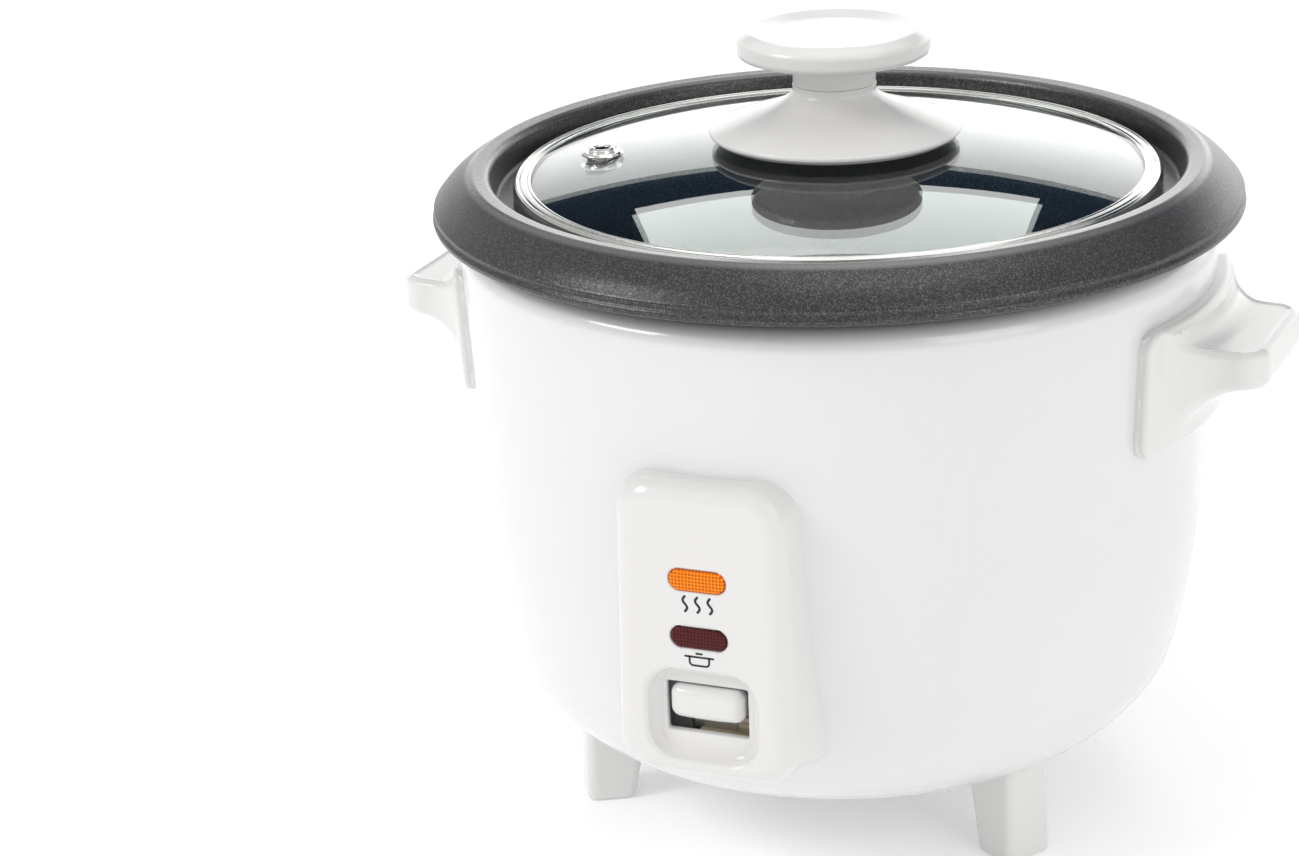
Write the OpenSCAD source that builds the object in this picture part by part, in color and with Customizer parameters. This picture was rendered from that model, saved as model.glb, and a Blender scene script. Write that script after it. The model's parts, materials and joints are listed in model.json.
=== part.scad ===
// Small electric rice cooker: painted steel body on three feet, non-stick pot,
// glass lid, two side handles, front switch panel and rear power inlet.
// Origin: on the cooker's vertical axis, at the height of the surface it stands on.
// +Z is up, -Y is the front with the switch, +X is the cooker's right-hand handle.

/* [Body] */
// Largest diameter of the painted body, at its top
body_d = 193; // [160:1:235]
// Height of the body's top edge above the table
body_h = 155.5; // [145:0.5:190]
// Thickness of the body's sheet
body_wall = 1; // [0.6:0.1:1.5]
// Radius of the round bottom corner
corner_r = 32; // [26:1:36]
// Lean of the side wall from vertical, in degrees
wall_draft = 3; // [1:0.5:4]
// Radius of the rolled top edge
top_round = 5.5; // [4:0.5:7]
// Height of the body's underside above the table
foot_h = 21; // [17:1:25]

/* [Pot] */
// Height of the pot from its underside to the crown of its rim
pot_h = 99; // [82:1:100]
// Thickness of the pot's sheet
pot_wall = 1.5; // [1:0.1:2]
// How far the rim reaches past the body
rim_overhang = 6.5; // [4:0.5:10]
// Height of the crown of the rim above the body's top edge
rim_rise = 15.5; // [14:0.5:20]
// Height from the rim's lip up to the crown
rim_drop = 9.5; // [7:0.5:11]
// Width of the flat band on the crown
crown_w = 4.5; // [3:0.5:6]
// Depth of the seat for the lid below the crown
seat_depth = 8; // [6:0.5:9]
// Width of the seat for the lid
seat_w = 6; // [5:0.5:8]

/* [Lid] */
// Thickness of the glass
glass_t = 3.5; // [3:0.1:5]
// Rise of the glass from its edge to its middle
dome_rise = 9.5; // [6:0.5:14]
// Diameter of the knob's top disc
knob_d = 49; // [40:1:56]
// Thickness of the knob's top disc
knob_disc_t = 6.6; // [5:0.2:9]
// Height of the knob above the glass
knob_h = 27.5; // [24:0.5:34]
// Diameter of the knob's foot
knob_foot_d = 64; // [56:1:72]
// Diameter of the knob's neck
knob_neck_d = 20; // [16:1:24]

/* [Front panel] */
// Width of the panel's front face
panel_w = 44; // [40:1:54]
// Height of the panel's front face
panel_h = 75; // [70:1:84]
// How far the face stands out from the body's wall behind the upper lamp
panel_proud = 7.6; // [7.6:0.2:9]
// Thickness of the panel's wall
panel_wall = 2; // [1.5:0.1:2.5]
// Width of a lamp lens
lens_w = 15; // [12:0.5:18]
// Height of a lamp lens
lens_h = 6; // [5:0.5:7]
// Width of the switch lever's knob
switch_w = 19; // [15:0.5:20]
// Height of the switch lever's knob
switch_h = 8.8; // [7:0.2:9.4]

/* [Handles] */
// How far a handle's tip stands out past the body's largest radius
handle_reach = 19.5; // [14:0.5:30]
// Width of a grip
grip_w = 44; // [36:1:56]
// Thickness of a grip at its tip
grip_t = 9; // [7:0.5:12]
// Height of a handle's flange on the body
flange_h = 33; // [30:1:38]
// Thickness of a handle's flange
flange_t = 3.5; // [2.5:0.5:5]

/* [Feet] */
// Width of a foot across
foot_w = 16; // [12:1:20]
// Depth of a foot at the table
foot_l = 13; // [10:1:16]

/* [Heater and inlet] */
// Thickness of the heating plate
plate_t = 6; // [5:0.5:7]
// Diameter of the tubular heating element
element_d = 7.2; // [6:0.2:8]
// Diameter of the thermostat's cap
cap_d = 28.4; // [24:0.2:30]
// Width of the power inlet's socket
socket_w = 24.6; // [23:0.2:27]
// Height of the power inlet's socket
socket_h = 16.6; // [15:0.2:18]

/* [Hidden] */
$fn = 96;
eps = 0.01;

// Clearances
run_gap = 0.06; // a shaft turning in its hole
slide_gap = 0.4; // between parts that slide past each other
lens_gap = 0.1; // round a lens in its hole
pot_gap = 3.2; // between the pot and the liner
seat_gap = 0.05; // between the pot's underside and what it stands on

// The body's profile is three arcs joined by straight lines. An arc is given by its
// centre and radius, and a point on it by the angle of its outward normal below level.
body_r = body_d / 2;
blend_angle = 14; // where the bottom corner meets the shoulder arc
shoulder_r = 210; // long arc between the bottom corner and the straight wall
top_c = [body_r - top_round, body_h - top_round];
wall_end = top_c + top_round * [cos(wall_draft), -sin(wall_draft)];
corner_cz = foot_h + corner_r;
corner_end_z = corner_cz - corner_r * sin(blend_angle);
shoulder_end_z = corner_end_z + shoulder_r * (sin(blend_angle) - sin(wall_draft));
shoulder_end_r = wall_end[0] - (wall_end[1] - shoulder_end_z) * tan(wall_draft);
shoulder_c = [shoulder_end_r - shoulder_r * cos(wall_draft),
    shoulder_end_z + shoulder_r * sin(wall_draft)];
flat_r = shoulder_c[0] + (shoulder_r - corner_r) * cos(blend_angle);
corner_c = [flat_r, corner_cz];

// Points of an arc from angle a to angle b, in n steps
function arc(c, r, a, b, n) =
    [for (i = [0 : n]) let (t = a + (b - a) * i / n) c + r * [cos(t), -sin(t)]];

// The body's profile moved inwards by t, from the middle of its base to the middle of its top
function body_profile(t) = concat(
    [[0, foot_h + t]],
    arc(corner_c, corner_r - t, 90, blend_angle, 14),
    arc(shoulder_c, shoulder_r - t, blend_angle, wall_draft, 5),
    arc(top_c, top_round - t, wall_draft, -90, 8),
    [[0, body_h - t]]);

// Radius of the straight part of the body's wall at height z
function wall_r(z) = wall_end[0] - (wall_end[1] - z) * tan(wall_draft);

// Radii of the nested cups
liner_wall = 0.8;
liner_inset = 11.7; // from the body's largest radius to the liner's outside
liner_r = body_r - liner_inset;
pot_r = liner_r - liner_wall - pot_gap + 0.2;
lip_r = liner_r + 1.7; // inner edge of the body's rolled top
crown_z = body_h + rim_rise;
plate_top = crown_z - pot_h - seat_gap;
floor_drop = 15.2; // from the heating plate's top to the liner's floor
floor_top = plate_top - floor_drop;
floor_under = floor_top - liner_wall;
base_open_r = flat_r - 10; // opening in the body's underside
floor_hole_r = flat_r - 16; // opening in the liner's floor
post_ring_r = flat_r - 5;
post_angles = [90, 210, 330];

// Pot rim
rim_r = body_r + rim_overhang;
lip_bead_r = 1.4;
seat_z = crown_z - seat_depth;
seat_in_r = pot_r - 0.5; // the bore at the lid's seat
seat_out_r = seat_in_r + seat_w;
crown_in_r = seat_out_r + 1.6;
crown_out_r = crown_in_r + crown_w;
pot_corner_r = 12;

// Lid
ring_w = 4.6;
ring_r = seat_out_r - 4.2; // outside of the lid's steel ring
ring_z = seat_z;
glass_edge_r = ring_r - 1;
glass_edge_z = ring_z + 0.6; // underside of the glass at its edge
glass_top_z = glass_edge_z + glass_t + dome_rise;
dome_r = (pow(glass_edge_r, 2) + pow(dome_rise, 2)) / (2 * dome_rise);
knob_hole_r = 3.4;
vent_ring_r = 59.5;
vent_angle = 198;
vent_r = 4;

// Front panel and switch
switch_z = floor_under + 4.7; // middle of the lever's knob
warm_z = switch_z + 33.3;
lamp_top = warm_z + 7; // top of the lamps' holder
face_y = -(wall_r(lamp_top) + panel_proud);
panel_top = switch_z + panel_h * 0.755;
panel_bottom = panel_top - panel_h;
panel_flare = 0.2; // how fast the panel's sides spread towards the body
panel_edge_r = 4.5; // round edge of the panel's face
panel_corner_r = 9; // round corner of the panel's outline
panel_back_y = face_y + 32;
cook_z = switch_z + 18.6;
recess_z = switch_z - 2;
recess_w = 28;
recess_h = 24;
recess_depth = 4;
recess_floor_t = 2;
cup_t = 2; // wall of the cup round the switch
aperture_top = switch_z + switch_h / 2 + slide_gap;
lever_throw = 6; // degrees from warm to cook
recess_r = 7;

// Lever
pivot_y = -(body_r - 30.5);
pivot_z = floor_under - 10;
pivot_r = 1.5;
arm_w = 11;
arm_top = -1; // top of the inner arm below the pivot
arm_t = 3;
knob_front_y = face_y + 1.7;
knob_back_y = face_y + 8.9;
knob_drop = (pivot_y - knob_front_y) * sin(lever_throw);
aperture_bottom = switch_z - switch_h / 2 - knob_drop - slide_gap;
ear_x = arm_w / 2 + 0.5;
ear_t = 1.2;
tine_gap = 6;

// Thermostat
cap_r = cap_d / 2;
sleeve_in_r = cap_r + slide_gap;
sleeve_t = 1;
sheet_t = 1.2;
cap_t = 1;
skirt_t = 1;
cap_top = plate_top;
ferrite_t = 5;
ferrite_under = cap_top - cap_t - ferrite_t;
magnet_r = 9;
magnet_t = 6;
magnet_lift = -pivot_y * sin(lever_throw);
magnet_top = ferrite_under - magnet_lift - 0.2;
rod_r = 2;
cross_r = 1.2;

// Heater
plate_r = pot_r - 12;
element_ring_r = plate_r - 19;
element_z = plate_top - plate_t - 2.6;
rib_h = 6;
boss_ring_r = plate_r - 7;
boss_angles = [0, 120, 240];
element_gap = [115, 155]; // angles of the element's two ends
leg_bottom = floor_under - 5;

// Feet
foot_angles = [210, 330, 90];
foot_out = 7; // from the foot's screw to its outer face
foot_spread = 4; // how much deeper the foot is at its top
cover_head_r = 3.2;
// The feet stand just outside the heads of the cover's screws
foot_ring_r = post_ring_r + cover_head_r + slide_gap + foot_l + foot_spread - foot_out;

// Handles
handle_top = body_h - 12.7;
handle_low = handle_top - flange_h;
grip_top = handle_top - 8.3;
tip_x = body_r + handle_reach;
handle_half_angle = 22;
handle_screw_z = [handle_low + 9, handle_top - 12];
handle_screw_l = 11.5;

// Inlet
inlet_z = foot_h + 22;
inlet_y = body_r - 4;
inlet_depth = 15;
inlet_wall = 3;
inlet_ear = 9; // width of each screw ear beside the socket's block
pin_x = 7;
earth_up = 3.6;

module ring_at(angles, r, z = 0) {
    for (a = angles) rotate([0, 0, a]) translate([r, 0, z]) children();
}

// Pan-head screw along +Z, head below z = 0
module screw(r, length, head_r, head_h) {
    cylinder(r = r, h = length, $fn = 24);
    difference() {
        translate([0, 0, -head_h]) cylinder(r = head_r, h = head_h, $fn = 32);
        for (a = [0, 90]) rotate([0, 0, a])
            translate([-head_r * 0.6, -0.35, -head_h - eps]) cube([head_r * 1.2, 0.7, head_h * 0.5]);
    }
}

module body_solid(t = 0) {
    rotate_extrude($fn = 144) polygon(body_profile(t));
}

// Rounded rectangle centred on the origin
module round_rect(w, h, r) {
    difference() {
        square([w, h], center = true);
        for (sx = [-1, 1], sy = [-1, 1]) translate([sx * (w / 2 - r), sy * (h / 2 - r)]) difference() {
            translate([sx > 0 ? 0 : -r - 1, sy > 0 ? 0 : -r - 1]) square(r + 1);
            circle(r = r, $fn = 48);
        }
    }
}

module stadium(w, h) {
    square([w - h, h], center = true);
    for (s = [-1, 1]) translate([s * (w - h) / 2, 0]) circle(d = h, $fn = 48);
}

// Extrudes a front view along +Y, from y0 to y1; the view's x and y are X and Z
module front_view(y0, y1) {
    translate([0, y1, 0]) rotate([90, 0, 0]) linear_extrude(height = y1 - y0) children();
}

// Extrudes a side view along X, width w; the view's x and y are Y and Z
module side_view(w) {
    rotate([90, 0, 90]) translate([0, 0, -w / 2]) linear_extrude(height = w) children();
}

// ---- Body ----

module outer_body() {
    color("white") difference() {
        rotate_extrude($fn = 144) difference() {
            polygon(body_profile(0));
            polygon(body_profile(body_wall));
            translate([-eps, foot_h - 1]) square([base_open_r + eps, body_wall + 2]);
            translate([-eps, body_h - body_wall - 1]) square([lip_r + eps, body_wall + 2]);
        }
        // Window for the switch lever
        translate([-8, -body_r - 2, pivot_z - 4]) cube([16, 22, switch_z + 7.5 - pivot_z + 4]);
        // Opening for the power inlet
        translate([-inlet_block_w() / 2, inlet_y - 30, inlet_z - inlet_block_h() / 2])
            cube([inlet_block_w(), 32, inlet_block_h()]);
        ring_at(post_angles, post_ring_r, foot_h - 1) cylinder(r = 1.6, h = body_wall + 2, $fn = 24);
        ring_at(foot_angles, foot_ring_r, 0) cylinder(r = 2, h = foot_h + 12, $fn = 24);
        handle_screw_places() cylinder(r = 2, h = 20, $fn = 24);
        panel_screw_places() translate([0, 0, -8]) cylinder(r = 1.5, h = 16, $fn = 24);
        for (s = [-1, 1]) translate([s * inlet_screw_x(), inlet_y - 20, inlet_z])
            rotate([-90, 0, 0]) cylinder(r = 1.6, h = 22, $fn = 24);
    }
}

module inner_liner() {
    flange_r = top_c[0];
    flange_z = body_h - body_wall;
    color("silver") difference() {
        rotate_extrude($fn = 144) polygon([
            [floor_hole_r, floor_under],
            [liner_r - 3, floor_under],
            [liner_r, floor_under + 3],
            [liner_r, flange_z - liner_wall],
            [flange_r, flange_z - liner_wall],
            [flange_r, flange_z],
            [liner_r - liner_wall, flange_z],
            [liner_r - liner_wall, floor_top + 3],
            [liner_r - 3 - liner_wall / 2, floor_top],
            [floor_hole_r, floor_top]]);
        ring_at(post_angles, post_ring_r, floor_under - 1) cylinder(r = 1.6, h = 3, $fn = 24);
        ring_at(boss_angles, boss_ring_r, floor_under - 1) cylinder(r = 2, h = 3, $fn = 24);
        ring_at(element_gap, element_ring_r, floor_under - 1)
            cylinder(d = element_d + 2.4, h = 3, $fn = 32);
        rivet_places() translate([0, 0, floor_under - 1]) cylinder(r = 1.5, h = 3, $fn = 24);
    }
}

module base_cover() {
    color("white") difference() {
        translate([0, 0, foot_h - 1.2]) cylinder(r = flat_r - 2, h = 1.2);
        ring_at(post_angles, post_ring_r, foot_h - 2) cylinder(r = 1.6, h = 3, $fn = 24);
        // Vent slots
        for (a = [0 : 30 : 330]) rotate([0, 0, a])
            translate([base_open_r * 0.62, 0, foot_h - 2]) linear_extrude(height = 3) stadium(18, 3);
    }
}

module cover_screws() {
    color("silver") ring_at(post_angles, post_ring_r, foot_h - 1.2) screw(1.6, 9, cover_head_r, 1.6);
}

module foot() {
    color("white") difference() {
        translate([foot_ring_r, 0, 0]) rotate([90, 0, 0]) linear_extrude(height = foot_w, center = true)
            polygon([
                [foot_out - foot_l, 0],
                [foot_out - 0.6, 0],
                [foot_out, 0.6],
                [foot_out + 0.5, foot_h + corner_r / 3],
                [foot_out - foot_l - foot_spread, foot_h + corner_r / 3],
                [foot_out - foot_l - foot_spread, foot_h - 4]]);
        body_solid();
        // Each side narrows towards the table
        for (s = [-1, 1]) translate([foot_ring_r - 20, s * (foot_w / 2 - 1.2), -1])
            rotate([s * -3, 0, 0]) translate([0, s > 0 ? 0 : -6, 0]) cube([40, 6, foot_h + corner_r]);
        // Clear of the cover
        translate([0, 0, foot_h - 1.5]) cylinder(r = flat_r - 1.7, h = 4);
        translate([foot_ring_r, 0, -1]) cylinder(r = 2, h = foot_h + corner_r, $fn = 24);
        translate([foot_ring_r, 0, -1]) cylinder(r = 4, h = 13, $fn = 32);
    }
}

module foot_left() { rotate([0, 0, foot_angles[0]]) foot(); }
module foot_right() { rotate([0, 0, foot_angles[1]]) foot(); }
module foot_rear() { rotate([0, 0, foot_angles[2]]) foot(); }

module foot_screws() {
    color("silver") ring_at(foot_angles, foot_ring_r, 12) screw(2, foot_h - 3, 3.6, 2);
}

// ---- Handles ----

// Places of one handle's screws, on the +X side, pointing outwards
module handle_screw_row() {
    for (z = handle_screw_z) translate([liner_r + 1.5, 0, z]) rotate([0, 90, 0]) children();
}

module handle_screw_places() {
    for (a = [0, 180]) rotate([0, 0, a]) handle_screw_row() children();
}

// The grip from the side. Its two round hollows run out just inside the flange.
module grip_side_view() {
    under_r = grip_top - grip_t - handle_low; // round hollow under the grip
    x0 = wall_r(handle_low) + flange_t;
    top_r = handle_top - grip_top; // round hollow where the grip meets the flange
    x1 = wall_r(handle_top) + flange_t;
    back_x = wall_r(handle_low) - 5;
    polygon(concat(
        [[back_x, handle_low + under_r * 0.1]],
        arc([x0 + under_r, handle_low], under_r, -170, -90, 8),
        [[tip_x + 1, grip_top - grip_t], [tip_x + 1, grip_top]],
        arc([x1 + top_r, handle_top], top_r, 90, 170, 6),
        [[back_x, handle_top - top_r * 0.3]]));
}

module handle() {
    tip_r = 9;
    color("white") difference() {
        union() {
            // Flange that follows the body
            rotate([0, 0, -handle_half_angle]) rotate_extrude(angle = 2 * handle_half_angle, $fn = 144)
                polygon([
                    [wall_r(handle_low) - 2, handle_low],
                    [wall_r(handle_low) + flange_t, handle_low],
                    [wall_r(handle_top) + flange_t, handle_top],
                    [wall_r(handle_top) - 2, handle_top]]);
            // Grip
            intersection() {
                rotate([90, 0, 0]) linear_extrude(height = grip_w + 20, center = true) grip_side_view();
                linear_extrude(height = body_h) difference() {
                    translate([0, -grip_w / 2]) square([tip_x, grip_w]);
                    for (s = [-1, 1]) translate([tip_x - tip_r, s * (grip_w / 2 - tip_r)])
                        difference() {
                            translate([0, s > 0 ? 0 : -tip_r - 1]) square(tip_r + 1);
                            circle(r = tip_r, $fn = 64);
                        }
                }
            }
        }
        body_solid();
        handle_screw_row() cylinder(r = 2, h = handle_screw_l + 1, $fn = 24);
    }
}

module handle_right() { handle(); }
module handle_left() { rotate([0, 0, 180]) handle(); }

module handle_screws() {
    color("silver") difference() {
        handle_screw_places() translate([0, 0, 0.5]) screw(2, handle_screw_l, 3.4, 1.5);
        // Heads seat on the wall from inside
        difference() {
            body_solid();
            body_solid(body_wall);
            handle_screw_places() cylinder(r = 2, h = 20, $fn = 24);
        }
    }
}

// ---- Supports and heater ----

module support_posts() {
    color("silver") ring_at(post_angles, post_ring_r, foot_h + body_wall) difference() {
        cylinder(r = 4, h = floor_under - foot_h - body_wall, $fn = 6);
        translate([0, 0, -1]) cylinder(r = 1.6, h = 9, $fn = 24);
        translate([0, 0, floor_under - foot_h - body_wall - 7]) cylinder(r = 1.6, h = 8, $fn = 24);
    }
}

module post_screws() {
    color("silver") ring_at(post_angles, post_ring_r, floor_top) mirror([0, 0, 1]) screw(1.6, 7, 3, 1.6);
}

module element_path() {
    span = 360 - (element_gap[1] - element_gap[0]);
    rotate([0, 0, element_gap[1]]) rotate_extrude(angle = span, $fn = 96)
        translate([element_ring_r, element_z]) circle(d = element_d, $fn = 32);
    ring_at(element_gap, element_ring_r, leg_bottom)
        cylinder(d = element_d, h = element_z - leg_bottom, $fn = 32);
    ring_at(element_gap, element_ring_r, element_z) sphere(d = element_d, $fn = 32);
}

module heating_plate() {
    under = plate_top - plate_t;
    color("lightgray") difference() {
        union() {
            rotate_extrude() polygon([
                [sleeve_in_r + sleeve_t + 0.9, plate_top],
                [plate_r - 1.5, plate_top],
                [plate_r, plate_top - 1.5],
                [plate_r, under],
                [element_ring_r + element_d / 2 + 2.4, under],
                [element_ring_r + element_d / 2 + 1.6, under - rib_h],
                [element_ring_r - element_d / 2 - 1.6, under - rib_h],
                [element_ring_r - element_d / 2 - 2.4, under],
                [sleeve_in_r + sleeve_t + 0.9, under]]);
            ring_at(boss_angles, boss_ring_r, floor_top)
                cylinder(r = 5, h = under - floor_top + 1, $fn = 48);
        }
        element_path();
        ring_at(boss_angles, boss_ring_r, floor_top - 1) cylinder(r = 2, h = 12, $fn = 24);
    }
}

module heating_element() {
    color("dimgray") element_path();
}

module element_terminals() {
    color("gold") ring_at(element_gap, element_ring_r, leg_bottom) union() {
        translate([0, 0, -4]) cylinder(r = 1.6, h = 4, $fn = 24);
        translate([-3.2, -0.4, -12]) cube([6.4, 0.8, 9]);
    }
}

module heater_screws() {
    color("silver") ring_at(boss_angles, boss_ring_r, floor_under) screw(2, 10, 3.6, 2);
}

// ---- Thermostat ----

module thermostat_bracket() {
    length = 2 * floor_hole_r + 16;
    color("silver") translate([0, 0, floor_under - sheet_t]) difference() {
        translate([-length / 2, -12, 0]) cube([length, 24, sheet_t]);
        translate([0, 0, -1]) cylinder(r = magnet_r + 2, h = 4);
        for (s = [-1, 1]) translate([s * (floor_hole_r + 4), 0, -1]) cylinder(r = 1.5, h = 4, $fn = 24);
    }
}

module rivet_places() {
    for (s = [-1, 1]) {
        translate([s * (floor_hole_r + 4), 0, 0]) children();
        translate([s * 10.5, pivot_y, 0]) children();
    }
}

module bracket_rivets() {
    color("silver") rivet_places() {
        translate([0, 0, floor_under - sheet_t]) cylinder(r = 1.5, h = sheet_t + liner_wall, $fn = 24);
        translate([0, 0, floor_under - sheet_t - 1]) cylinder(r = 2.6, h = 1, $fn = 32);
        translate([0, 0, floor_top]) cylinder(r = 2.6, h = 1, $fn = 32);
    }
}

module thermostat_sleeve() {
    out_r = sleeve_in_r + sleeve_t;
    foot_top = floor_under + 0.8;
    color("lightgray") rotate_extrude() polygon([
        [magnet_r + 2, floor_under],
        [out_r, floor_under],
        [out_r, plate_top - 1.5],
        [sleeve_in_r, plate_top - 1.5],
        [sleeve_in_r, foot_top],
        [magnet_r + 2, foot_top]]);
}

// A coil spring of round wire, as one closed tube
module coil(r, wire_r, z0, z1, turns) {
    sides = 8;
    steps = 18 * turns;
    rise = z1 - z0 - 2 * wire_r;
    rings = [for (i = [0 : steps], j = [0 : sides - 1])
        let (a = 360 * turns * i / steps, b = 360 * j / sides, q = r + wire_r * cos(b))
        [q * cos(a), q * sin(a), z0 + wire_r + rise * i / steps + wire_r * sin(b)]];
    walls = [for (i = [0 : steps - 1], j = [0 : sides - 1])
        let (k = (j + 1) % sides)
        [i * sides + j, (i + 1) * sides + j, (i + 1) * sides + k, i * sides + k]];
    first = [for (j = [0 : sides - 1]) j];
    last = [for (j = [sides - 1 : -1 : 0]) steps * sides + j];
    polyhedron(points = rings, faces = concat(walls, [first, last]), convexity = 10);
}

module thermostat_spring() {
    color("gray") coil(cap_r - skirt_t - 1.2, 0.7, floor_under + 0.8, ferrite_under, 4);
}

module thermostat_cap() {
    color("lightgray") rotate_extrude() polygon([
        [0, cap_top],
        [cap_r - 0.6, cap_top],
        [cap_r, cap_top - 0.6],
        [cap_r, cap_top - 11],
        [cap_r - skirt_t, cap_top - 11],
        [cap_r - skirt_t, cap_top - cap_t],
        [0, cap_top - cap_t]]);
}

module ferrite_disc() {
    color("dimgray") translate([0, 0, ferrite_under]) cylinder(r = cap_r - skirt_t, h = ferrite_t);
}

module magnet_disc() {
    color("dimgray") translate([0, 0, magnet_top - magnet_t]) cylinder(r = magnet_r, h = magnet_t);
}

module magnet_rod() {
    cross_z = pivot_z + arm_top + cross_r + 0.1;
    rod_low = cross_z - 6;
    color("silver") union() {
        translate([0, 0, rod_low]) cylinder(r = rod_r, h = magnet_top - magnet_t - rod_low, $fn = 48);
        translate([0, 0, magnet_top - magnet_t - 1]) cylinder(r = 5, h = 1, $fn = 48);
        translate([-arm_w / 2 + 0.2, 0, cross_z]) rotate([0, 90, 0])
            cylinder(r = cross_r, h = arm_w - 0.4, $fn = 32);
    }
}

// ---- Switch lever ----

module lever_bracket() {
    base_y = [pivot_y - 7, pivot_y + 27];
    color("silver") difference() {
        union() {
            translate([-14, base_y[0], floor_under - sheet_t]) cube([28, base_y[1] - base_y[0], sheet_t]);
            for (s = [-1, 1]) translate([s > 0 ? ear_x : -ear_x - ear_t, pivot_y - 4, pivot_z - 4])
                cube([ear_t, 8, floor_under - pivot_z + 4 - sheet_t]);
        }
        translate([-20, pivot_y, pivot_z]) rotate([0, 90, 0]) cylinder(r = pivot_r, h = 40, $fn = 48);
        for (s = [-1, 1]) translate([s * 10.5, pivot_y, floor_under - 3])
            cylinder(r = 1.5, h = 4, $fn = 24);
    }
}

module lever_pin() {
    half = ear_x + ear_t;
    color("silver") translate([0, pivot_y, pivot_z]) rotate([0, 90, 0]) union() {
        translate([0, 0, -half - 1]) cylinder(r = pivot_r, h = 2 * half + 2, $fn = 48);
        for (z = [-half - 1, half]) translate([0, 0, z]) cylinder(r = 2.4, h = 1, $fn = 32);
    }
}

module lever_arm() {
    out_y = pivot_y - knob_back_y; // reach of the upright from the pivot
    tip_z = switch_z - pivot_z;
    upright_t = 3.5;
    color("silver") translate([0, pivot_y, pivot_z]) difference() {
        union() {
            rotate([0, 90, 0]) cylinder(r = 4.4, h = arm_w, center = true, $fn = 64);
            side_view(arm_w) polygon([[-2, arm_top - arm_t], [-pivot_y + 3.5, arm_top - arm_t],
                [-pivot_y + 3.5, arm_top], [2, arm_top], [1, 4], [-out_y + upright_t + 5, 4],
                [-out_y + upright_t, 8], [-out_y + upright_t, tip_z + 2], [-out_y - 3, tip_z + 2],
                [-out_y - 3, tip_z - 1], [-out_y, tip_z - 1], [-out_y, 6], [-out_y + 7, 0], [-3, 0]]);
        }
        rotate([0, 90, 0]) cylinder(r = pivot_r + run_gap, h = arm_w + 2, center = true, $fn = 64);
        // Fork round the magnet's rod
        translate([-tine_gap / 2, -pivot_y - 9, -20]) cube([tine_gap, 40, 40]);
    }
}

module lever_knob() {
    mid_y = (knob_front_y + knob_back_y) / 2;
    length = knob_back_y - knob_front_y;
    color("white") difference() {
        intersection() {
            translate([0, mid_y, switch_z]) side_view(switch_w) round_rect(length, switch_h, 1.6);
            translate([0, mid_y, switch_z]) front_view(-length, length)
                round_rect(switch_w, switch_h, 2.6);
        }
        // Socket for the arm's tip
        translate([-arm_w / 2, knob_back_y - 3.1, switch_z - 1]) cube([arm_w, 4, 3]);
    }
}

module microswitch() {
    color("black") translate([7.4, pivot_y + 9, floor_under - sheet_t - 10]) difference() {
        cube([6, 17, 10]);
        for (y = [4, 13]) translate([-1, y, 6.5]) rotate([0, 90, 0]) cylinder(r = 1.2, h = 8, $fn = 24);
    }
}

module thermal_fuse() {
    fuse_y = 24;
    // The outer lead ends inside the rib over the element
    x_end = sqrt(pow(element_ring_r - element_d / 2 - 3, 2) - pow(fuse_y, 2));
    color("gainsboro") translate([x_end - 18, fuse_y, plate_top - plate_t - 2.1]) rotate([0, 90, 0]) union() {
        cylinder(r = 2.1, h = 13, $fn = 48);
        translate([0, 0, -5]) cylinder(r = 0.6, h = 23, $fn = 24);
    }
}

module keep_warm_heater() {
    color("tan") rotate([0, 0, 15]) rotate_extrude(angle = 50, $fn = 144)
        translate([liner_r, (floor_top + body_h) / 2 - 20]) square([1.4, 40]);
}

// ---- Front panel ----

// What a panel smaller by t loses at its four corners, so that they are round
module panel_corners(t) {
    r = panel_corner_r - t;
    side_lean = atan(panel_flare);
    end_lean = atan(panel_flare / 2);
    for (sx = [-1, 1], sz = [-1, 1])
        translate([sx * (panel_w / 2 - t - r), face_y + t, sz > 0 ? panel_top - t - r : panel_bottom + t + r])
        rotate([-90 + sz * end_lean, 0, -sx * side_lean]) difference() {
            translate([sx > 0 ? 0 : -r - 9, sz > 0 ? -r - 9 : 0, -9]) cube([r + 9, r + 9, 60]);
            translate([0, 0, -10]) cylinder(r = r, h = 62);
        }
}

// The panel's outer form, made smaller all round by t
module panel_form(t) {
    half = panel_w / 2 - t;
    z0 = panel_bottom + t;
    z1 = panel_top - t;
    front = face_y + t;
    spread = (panel_back_y - front) * panel_flare;
    round_t = max(panel_edge_r - t, 0.5);
    difference() {
        intersection() {
            // Plan: sides that spread towards the body
            linear_extrude(height = 2 * body_h) polygon(concat(
                [[-half - spread, panel_back_y]],
                arc([-half + round_t, front + round_t], round_t, 170, 90, 6),
                arc([half - round_t, front + round_t], round_t, 90, 10, 6),
                [[half + spread, panel_back_y]]));
            // Side view: top and bottom that spread towards the body
            side_view(100) polygon(concat(
                [[panel_back_y, z1 + spread / 2]],
                [for (p = arc([front + round_t, -z1 + round_t], round_t, 100, 180, 6)) [p[0], -p[1]]],
                [for (p = arc([front + round_t, -z0 - round_t], round_t, 180, 260, 6)) [p[0], -p[1]]],
                [[panel_back_y, z0 - spread / 2]]));
        }
        panel_corners(t);
    }
}

// Screws that hold the panel, from inside the body, pointing forwards
module panel_screw_places() {
    for (s = [-1, 1], z = [panel_top - 11, panel_bottom + 37])
        translate([s * 15.5, -sqrt(pow(wall_r(z), 2) - pow(15.5, 2)), z]) rotate([90, 0, 0]) children();
}

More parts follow.
